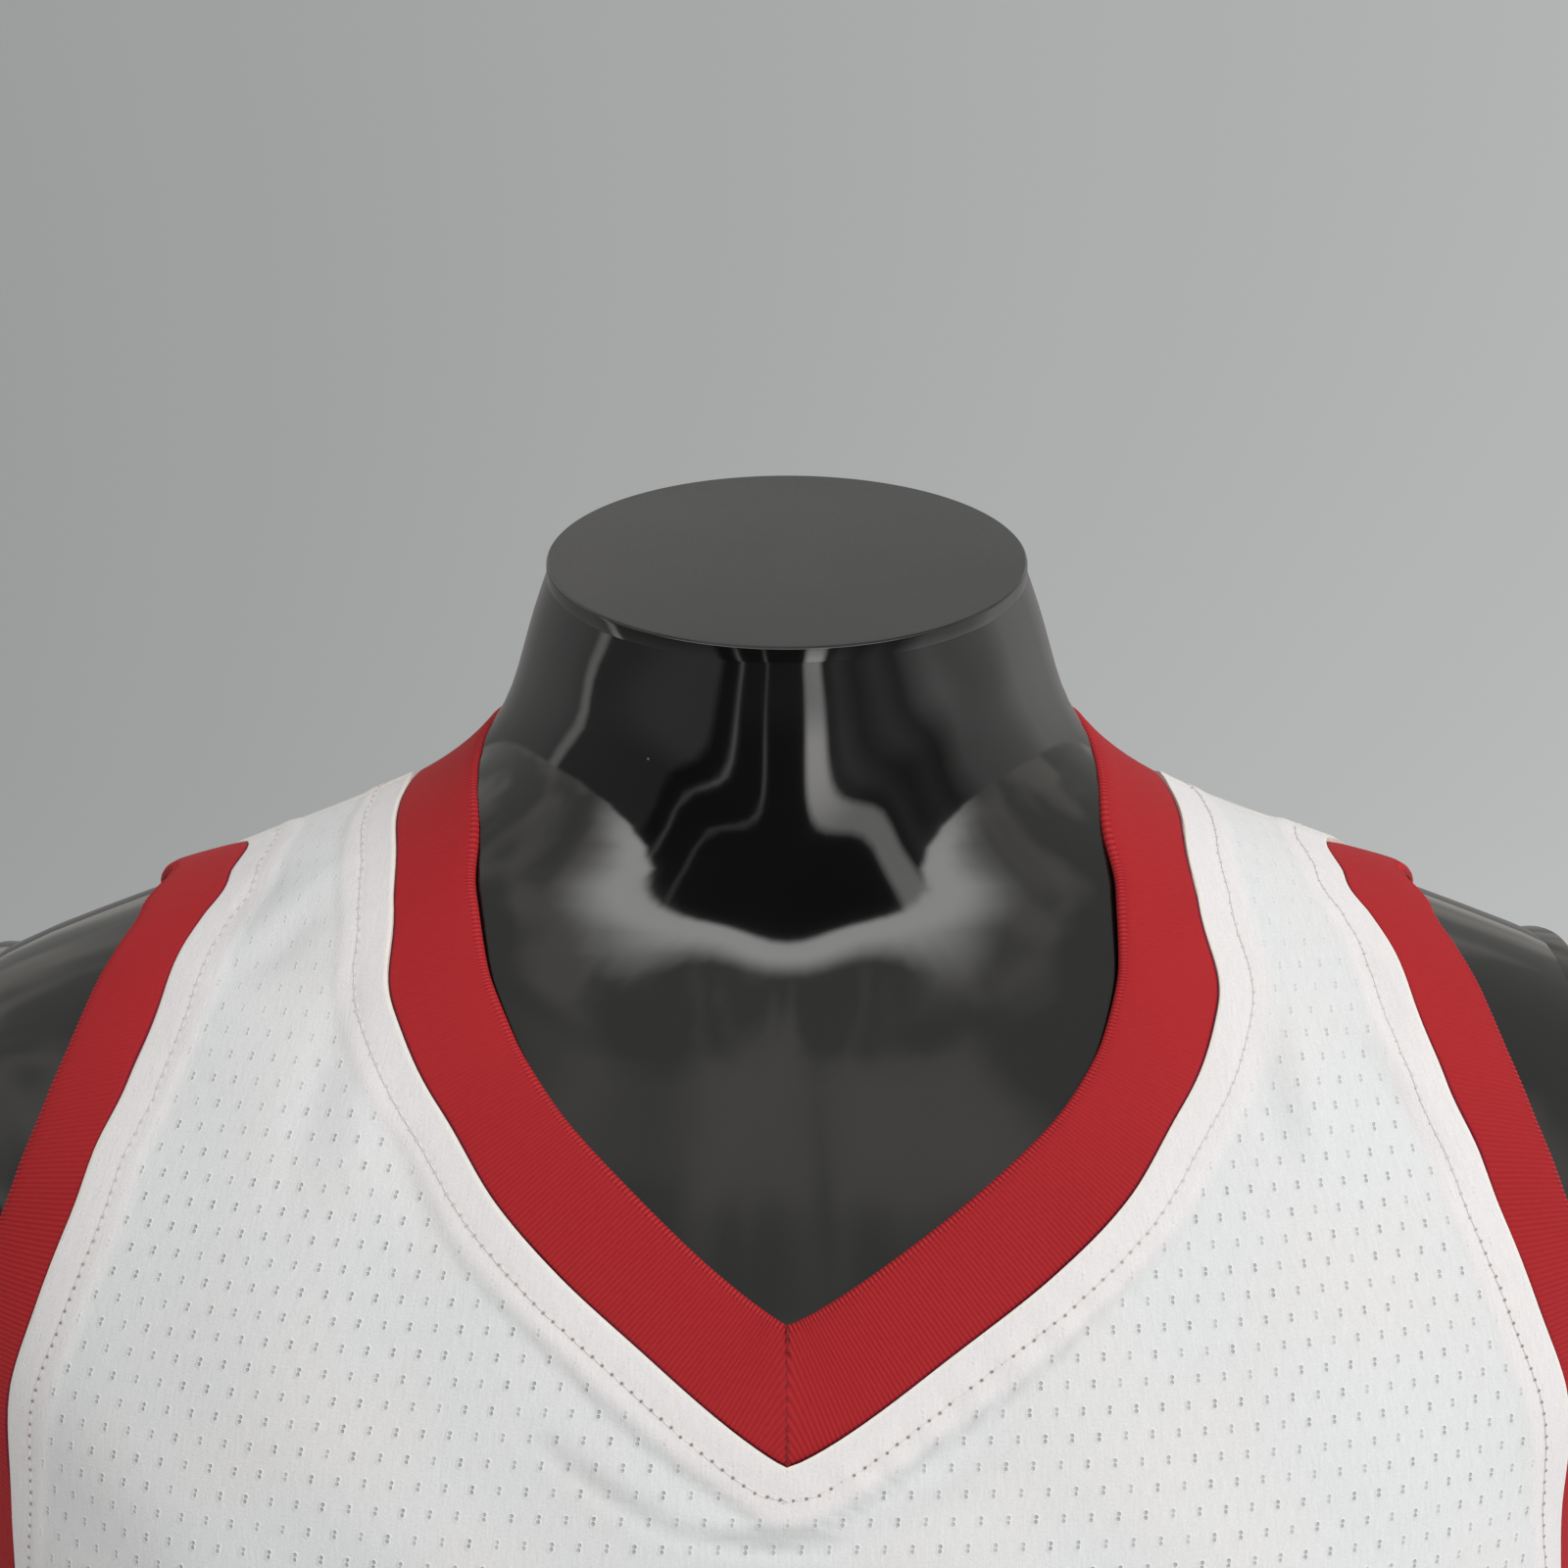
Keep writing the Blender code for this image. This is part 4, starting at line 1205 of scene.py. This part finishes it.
def makeForm():
    angles = np.arange(form["segments"]) * 360 / form["segments"]
    top = max(ring[0] for ring in body["neck"])
    heights = np.linspace(0, top, round(top / form["ringSpacing"]) + 1)
    points = formSurface.point(angles[None, :], heights[:, None])
    for _ in range(form["rounding"]):
        points = (np.roll(points, 1, axis=1) + 2 * points + np.roll(points, -1, axis=1)) / 4
    neckShare = ease((heights[1:-1] - form["neckStart"]) / form["neckBlend"])[:, None, None]
    for _ in range(form["neckRounding"]):
        evened = (points[:-2] + 2 * points[1:-1] + points[2:]) / 4
        points[1:-1] = mix(points[1:-1], evened, neckShare)
    points[0, :, 2] = 0
    points += reliefOf(points)
    builder = bmesh.new()
    loops = [[builder.verts.new(point) for point in ring] for ring in points.tolist()]
    for lower, upper in zip(loops, loops[1:]):
        for i in range(len(lower)):
            j = (i + 1) % len(lower)
            builder.faces.new([lower[i], lower[j], upper[j], upper[i]])
    builder.faces.new(loops[0][::-1])
    lid = builder.faces.new(loops[-1])
    lid.normal_update()
    capOutline, capFacing = [vert.co.copy() for vert in loops[-1]], lid.normal.copy()
    plates = {}
    for label, side in (("left", 1), ("right", -1)):
        turn = math.radians(form["cutTurn"])
        facing = Vector((side * math.cos(turn), math.sin(turn), 0))
        everything = builder.verts[:] + builder.edges[:] + builder.faces[:]
        made = bmesh.ops.bisect_plane(
            builder, geom=everything, dist=1e-6, plane_co=facing * form["cutReach"][label],
            plane_no=facing, clear_outer=True)
        rim = [item for item in made["geom_cut"] if isinstance(item, bmesh.types.BMEdge)]
        face = bmesh.ops.edgeloop_fill(builder, edges=rim)["faces"][0]
        face.normal_update()
        if face.normal.dot(facing) < 0:
            face.normal_flip()
        plates[label] = ([vert.co.copy() for vert in face.verts], facing)
    mesh = finishMesh("torso_form", builder, ["gloss"], form["sharp"])
    newPiece("torso_form", mesh, ["form_torso"])
    return (capOutline, capFacing), plates


def makePlate(name, outline, facing, thickness, bevel, node):
    builder = bmesh.new()
    base = builder.faces.new([builder.verts.new(point + facing * form["fit"]) for point in outline])
    top = bmesh.ops.extrude_face_region(builder, geom=[base])["geom"]
    raised = [item for item in top if isinstance(item, bmesh.types.BMVert)]
    bmesh.ops.translate(builder, verts=raised, vec=facing * thickness)
    bmesh.ops.recalc_face_normals(builder, faces=builder.faces)
    rim = set(raised)
    sharp = [edge for edge in builder.edges if rim.issuperset(edge.verts)]
    bmesh.ops.bevel(builder, geom=sharp, offset=bevel, segments=3, profile=0.5, affect="EDGES")
    mesh = finishMesh(name, builder, ["satin", "gloss"], form["sharp"])
    # the flat face is satin, its bevel and rim gloss
    for polygon in mesh.polygons:
        polygon.material_index = 0 if polygon.normal.dot(facing) > 0.8 else 1
    newPiece(name, mesh, [node])


capShape, shoulderCuts = makeForm()
makePlate("neck_lid", *capShape, form["capThickness"], form["capBevel"], "form_neck_cap")
for label, shape in shoulderCuts.items():
    makePlate("shoulder_plate_" + label, *shape, form["plateThickness"], form["plateBevel"],
              "form_shoulder_plate_" + label)
print("form made")


# ---- sewing ----

stitch = {
    "length": 0.0024,
    "thickness": 0.00028,
    "spacing": 0.0031,
    "sink": -0.00008,
    "needleRadius": 0.00040,
    "holeLift": 0.00012,
    "wander": 0.10,         # the stitches turn a little, each its own way
    "neckSteps": 16,
    "armSteps": 10,
    "hemTurn": 89.6,
    "hemPlaces": 260,
    "mitrePlaces": 40,
    "mitreAbove": 0.0008,
    "mitreBelow": 0.0006,
}
mitreStitch = {"length": 0.0016, "thickness": 0.00042, "spacing": 0.00115, "slant": 0.45}


def buildStitchTree():
    tree = bpy.data.node_groups.new("stitches along a path", "GeometryNodeTree")
    sockets = {}
    for name, kind in (("Path", "NodeSocketGeometry"), ("Length", "NodeSocketFloat"),
                       ("Thickness", "NodeSocketFloat"), ("Spacing", "NodeSocketFloat"),
                       ("Slant", "NodeSocketFloat"), ("Needle", "NodeSocketFloat"),
                       ("Thread", "NodeSocketMaterial"), ("Hole", "NodeSocketMaterial")):
        sockets[name] = tree.interface.new_socket(name=name, in_out="INPUT", socket_type=kind)
    tree.interface.new_socket(name="Stitches", in_out="OUTPUT", socket_type="NodeSocketGeometry")

    def add(kind, settings, inputs):
        made = tree.nodes.new(kind)
        for key, value in settings.items():
            setattr(made, key, value)
        for key, value in inputs.items():
            if isinstance(value, bpy.types.NodeSocket):
                tree.links.new(value, made.inputs[key])
            else:
                made.inputs[key].default_value = value
        return made

    given = add("NodeGroupInput", {}, {})
    curve = add("GeometryNodeMeshToCurve", {}, {"Mesh": given.outputs["Path"]})
    spaced = add("GeometryNodeResampleCurve", {"mode": "LENGTH"},
                 {"Curve": curve.outputs[0], "Length": given.outputs["Spacing"]})
    facing = add("GeometryNodeInputNamedAttribute", {"data_type": "FLOAT_VECTOR"}, {"Name": "facing"})
    tangent = add("GeometryNodeInputTangent", {}, {})
    frameTurn = add("FunctionNodeAxesToRotation", {"primary_axis": "Z", "secondary_axis": "X"},
                    {"Primary Axis": facing.outputs[0], "Secondary Axis": tangent.outputs[0]})
    wander = add("FunctionNodeRandomValue", {"data_type": "FLOAT"},
                 {2: -stitch["wander"], 3: stitch["wander"], "Seed": 7})
    slant = add("ShaderNodeMath", {"operation": "ADD"}, {0: given.outputs["Slant"], 1: wander.outputs[1]})
    turn = add("ShaderNodeCombineXYZ", {}, {"Z": slant.outputs[0]})
    twist = add("FunctionNodeEulerToRotation", {}, {"Euler": turn.outputs[0]})
    rotation = add("FunctionNodeRotateRotation", {"rotation_space": "LOCAL"},
                   {0: frameTurn.outputs[0], 1: twist.outputs[0]})
    ball = add("GeometryNodeMeshUVSphere", {}, {"Segments": 8, "Rings": 5, "Radius": 0.5})
    scale = add("ShaderNodeCombineXYZ", {}, {"X": given.outputs["Length"], "Y": given.outputs["Thickness"],
                                             "Z": given.outputs["Thickness"]})
    shaped = add("GeometryNodeTransform", {}, {"Geometry": ball.outputs[0], "Scale": scale.outputs[0]})
    # a small disc painted dark for the shade in the hole where the needle went in, between one stitch and
    # the next
    disc = add("GeometryNodeMeshCircle", {"fill_type": "NGON"},
               {"Vertices": 8, "Radius": given.outputs["Needle"]})
    half = add("ShaderNodeMath", {"operation": "MULTIPLY"}, {0: given.outputs["Spacing"], 1: 0.5})
    ahead = add("ShaderNodeCombineXYZ", {}, {"X": half.outputs[0], "Z": stitch["holeLift"]})
    moved = add("GeometryNodeTransform", {}, {"Geometry": disc.outputs[0], "Translation": ahead.outputs[0]})
    marked = add("GeometryNodeStoreNamedAttribute", {"data_type": "BOOLEAN", "domain": "FACE"},
                 {"Geometry": moved.outputs[0], "Name": "needle hole", "Value": True})
    both = add("GeometryNodeJoinGeometry", {}, {})
    tree.links.new(shaped.outputs[0], both.inputs[0])
    tree.links.new(marked.outputs[0], both.inputs[0])
    placed = add("GeometryNodeInstanceOnPoints", {},
                 {"Points": spaced.outputs[0], "Instance": both.outputs[0], "Rotation": rotation.outputs[0]})
    smooth = add("GeometryNodeSetShadeSmooth", {}, {"Geometry": placed.outputs[0]})
    real = add("GeometryNodeRealizeInstances", {}, {"Geometry": smooth.outputs[0]})
    threaded = add("GeometryNodeSetMaterial", {},
                   {"Geometry": real.outputs[0], "Material": given.outputs["Thread"]})
    isHole = add("GeometryNodeInputNamedAttribute", {"data_type": "BOOLEAN"}, {"Name": "needle hole"})
    pierced = add("GeometryNodeSetMaterial", {},
                  {"Geometry": threaded.outputs[0], "Selection": isHole.outputs[0],
                   "Material": given.outputs["Hole"]})
    add("NodeGroupOutput", {}, {0: pierced.outputs[0]})
    return tree, sockets


stitchTree, stitchSockets = buildStitchTree()


def sew(name, paths, thread, slot, hole, length, thickness, spacing, slant=0.0):
    # paths: lists of points and facings; a mesh of stitches along them
    points, facings, edges = [], [], []
    for pathPoints, pathFacings in paths:
        start = len(points)
        points += np.asarray(pathPoints).tolist()
        facings += np.asarray(pathFacings).tolist()
        edges += [(start + i, start + i + 1) for i in range(len(pathPoints) - 1)]
    guide = bpy.data.meshes.new(name + " guide")
    guide.from_pydata(points, edges, [])
    field = guide.attributes.new("facing", "FLOAT_VECTOR", "POINT")
    field.data.foreach_set("vector", np.array(facings, np.float32).ravel())
    holder = bpy.data.objects.new(name + " guide", guide)
    scene.collection.objects.link(holder)
    modifier = holder.modifiers.new("stitches", "NODES")
    modifier.node_group = stitchTree
    values = {"Length": length, "Thickness": thickness, "Spacing": spacing, "Slant": slant,
              "Needle": stitch["needleRadius"], "Thread": materials[thread], "Hole": materials[hole]}
    for key, value in values.items():
        modifier[stitchSockets[key].identifier] = value
    evaluated = holder.evaluated_get(bpy.context.evaluated_depsgraph_get())
    mesh = bpy.data.meshes.new_from_object(evaluated)
    bpy.data.objects.remove(holder, do_unlink=True)
    mesh.name = name
    print(name, len(mesh.polygons), "faces")
    return newPiece(name, mesh)


def clothPath(angle, height, front):
    # a path for stitches on the finished cloth, and the way that it faces
    reach = clothFields(angle, height, front)["reach"] + (stitch["thickness"] / 2 - stitch["sink"])
    return clothPoint(angle, height, reach), clothSurface.normal(angle, height)


def besideSeam(angle, height, away, side):
    # the same seam moved away into the panel
    points = basePoint(angle, height)
    along = np.gradient(points, axis=0)
    along /= np.linalg.norm(along, axis=1, keepdims=True)
    outward = np.cross(along, clothSurface.normal(angle, height)) * side
    moved = points + outward * away
    return clothSurface.place(moved, (cut["offset"] + foldReach(angle, height))[:, None])


def neckStitchPaths(away):
    paths = []
    for side in (1, -1):
        rows = neckSections(side, stitch["neckSteps"])
        shoulder = cut["neckShoulder"] * stitch["neckSteps"]
        for front in (True, False):
            part = rows[:shoulder + 1] if front else rows[shoulder:]
            angle, height = besideSeam(side * part[:, 2], part[:, 3], away, side)
            keep = (np.sign(angle) == side) & (np.abs(angle) <= 180)
            if front:
                keep &= np.abs(angle) <= 90
                # the two rows meet below the tip
                first = int(np.argmax(keep))
                angle, height = angle[first:], height[first:]
                angle[0] = 0.0
                keep = np.abs(angle) <= 90
            angle, height = angle[keep], height[keep]
            paths.append(clothPath(angle, height, front))
    return paths


def armStitchPaths(side, away):
    rows = armSections(stitch["armSteps"])
    under = cut["armUnderarm"] * stitch["armSteps"]
    paths = []
    for front, part in ((True, rows[:under + 1]), (False, rows[under:])):
        angle, height = besideSeam(side * part[:, 2], part[:, 3], away, side)
        inside = np.abs(angle) <= 90 if front else np.abs(angle) >= 90
        paths.append(clothPath(angle[inside], height[inside], front))
    return paths


def hemStitchPaths(rise):
    paths = []
    for front in (True, False):
        turns = np.linspace(-stitch["hemTurn"], stitch["hemTurn"], stitch["hemPlaces"])
        angle = turns if front else 180 - turns
        angle = (angle + 180) % 360 - 180
        height = np.full(angle.shape, cut["hemHeight"] + rise)
        paths.append(clothPath(angle, height, front))
    return paths


def mitreStitchPath():
    sections = cut["neck"][0]
    top, foot = sections[1] - stitch["mitreAbove"], sections[3] + stitch["mitreBelow"]
    height = np.linspace(top, foot, stitch["mitrePlaces"])
    angle = np.zeros(height.shape)
    reach = cut["offset"] + foldReach(angle, height)
    return clothPoint(angle, height, reach), clothSurface.normal(angle, height)


def topstitch(name, paths):
    return sew(name, paths, "whiteThread", "mesh_knit", "needleHoleShade",
               stitch["length"], stitch["thickness"], stitch["spacing"])


sew("mitre_stitch", [mitreStitchPath()], "redThread", "rib_knit", "redThread", **mitreStitch)
neckStitches = topstitch("neck_topstitch", neckStitchPaths(drape["stitchLine"]))
armStitches = [topstitch("arm_topstitch_" + label, armStitchPaths(side, drape["stitchLine"]))
               for label, side in (("left", 1), ("right", -1))]
hemPaths = [path for rise in drape["hemLines"] for path in hemStitchPaths(rise)]
hemStitches = topstitch("hem_topstitch", hemPaths)
print("sewing done")


# ---- room, light and camera ----

room = {
    "floorRadius": 60.0,
    "floorPaintedShade": (0.60, 0.60, 0.60, 1),
    "floorPaintedLight": (0.95, 0.955, 0.955, 1),
    "floorTurn": 0.26,      # share of the way round over which the floor's painted light goes from shaded to lit
    "backdrop": (0.500, 0.507, 0.507, 1),
    "backdropSlope": 0.42,
    # where the mirrored room goes over from one part to the next, as parts of a direction
    "stripFront": (0.36, 0.84),
    "stripTop": (0.27, 0.43),
    "wallTop": (0.185, 0.225),
    "wallFoot": (-0.55, -0.20),
    "carpetEdge": (-0.80, -0.60),
    "glowEdge": (0.46, 0.66),
    # what gloss mirrors round the room: bearing from behind in turns, grey
    "walls": [
        (0.00, 0.35), (0.10, 0.35), (0.20, 0.55), (0.228, 0.50), (0.236, 1.60), (0.243, 1.60),
        (0.250, 0.28), (0.395, 0.24), (0.405, 0.015), (0.425, 0.012), (0.429, 0.90), (0.434, 0.012),
        (0.465, 0.010), (0.468, 0.70), (0.472, 0.012), (0.524, 0.012), (0.530, 2.60), (0.550, 2.60),
        (0.558, 0.06), (0.575, 0.25), (0.60, 0.10), (0.63, 0.22), (0.655, 0.12), (0.68, 0.50),
        (0.70, 0.85), (0.78, 0.95), (0.82, 1.25), (0.90, 0.60), (1.00, 0.35),
    ],
    "window": (2.90, 2.90, 2.86, 1),        # a bright strip above the front wall
    "ceiling": (0.34, 0.34, 0.33, 1),
    "ceilingGlow": (0.62, 0.60, 0.56, 1),
    "carpet": (0.10, 0.10, 0.098, 1),
    # name: where, what it looks at, width, height, watts
    "lights": {
        "key softbox": ((1.2, -1.6, 2.1), (0.0, 0, 0.60), 1.0, 0.8, 27),
        "fill softbox": ((-1.9, -1.3, 1.7), (0, 0, 0.6), 1.0, 1.2, 6),
        "back softbox": ((0.4, 1.8, 2.2), (0, 0, 0.6), 1.6, 0.8, 5),
    },
    "cameraPlace": (0.0, -1.12887, 0.99193),
    "cameraPitch": 11.0,
    "lens": 103.5,
    "sensor": 36.0,
    "shift": -3 / 1600,
}


def makeRoomLight():
    r = room
    world = bpy.data.worlds.new("grey studio")
    g = Graph(world, "ShaderNodeOutputWorld")
    heading = g.node("ShaderNodeTexCoord", {}, {})
    x, y = g.split(heading)
    z = Field(g, y.socket.node.outputs[2])
    tilt = 1.0 + x * r["backdropSlope"]
    backdrop = g.darken(r["backdrop"], tilt)
    bearing = g.sum("ARCTAN2", x, y * -1.0) / (2 * math.pi) + 0.5
    stops = [(place, (grey, grey * 0.985, grey * 0.97, 1)) for place, grey in r["walls"]]
    walls = g.node("ShaderNodeValToRGB", {"stops": stops}, {"Fac": bearing})
    glow = g.noise(heading, 2.2, 2.0)
    ceiling = g.blend(g.step(glow, *r["glowEdge"]), r["ceiling"], r["ceilingGlow"])
    walls = g.darken(walls, 1.0 - g.step(z, *r["wallFoot"]) * 0.5)
    strip = g.step(y * -1.0, *r["stripFront"]) * (1.0 - g.step(z, *r["stripTop"]))
    upper = g.blend(strip, ceiling, r["window"])
    mirrored = g.blend(g.step(z, *r["wallTop"]), walls, upper)
    mirrored = g.blend(g.step(z, *r["carpetEdge"]), r["carpet"], mirrored)
    glossy = g.node("ShaderNodeLightPath", {}, {}, 3)
    g.finish({"Color": g.blend(glossy, backdrop, mirrored)}, "ShaderNodeBackground")
    scene.world = world


def makeRoom():
    bpy.ops.mesh.primitive_circle_add(vertices=96, radius=room["floorRadius"], fill_type="NGON")
    floor = bpy.context.object
    floor.name = "floor"
    floor.visible_glossy = False
    g = surface("floor with painted light")
    spot = g.objectPlace()
    x, y = g.split(spot)
    across = x / g.sum("SQRT", x * x + y * y + 1.0)
    # painted light: the floor is painted darker to the left and paler to the right
    floor.data.materials.append(g.finish({
        "Base Color": g.blend(across / room["floorTurn"] * 0.5 + 0.5, room["floorPaintedShade"], room["floorPaintedLight"]),
        "Roughness": 0.8 + (g.noise(spot, 40.0) - 0.5) * 0.05,
        "Specular IOR Level": 0.1,
    }))
    for name, (place, target, width, height, watts) in room["lights"].items():
        light = bpy.data.lights.new(name, "AREA")
        light.shape, light.size, light.size_y, light.energy = "RECTANGLE", width, height, watts
        lamp = bpy.data.objects.new(name, light)
        lamp.location = place
        lamp.rotation_euler = (Vector(target) - Vector(place)).to_track_quat("-Z", "Y").to_euler()
        lamp.visible_glossy = False
        scene.collection.objects.link(lamp)
    camera = bpy.data.objects.new("camera", bpy.data.cameras.new("camera"))
    camera.data.lens, camera.data.sensor_width = room["lens"], room["sensor"]
    camera.data.shift_x = room["shift"]
    camera.location = room["cameraPlace"]
    camera.rotation_euler = (math.radians(90 - room["cameraPitch"]), 0, 0)
    scene.collection.objects.link(camera)
    scene.camera = camera
    scene.view_settings.view_transform = "Standard"


makeRoomLight()
makeRoom()
print("room made")
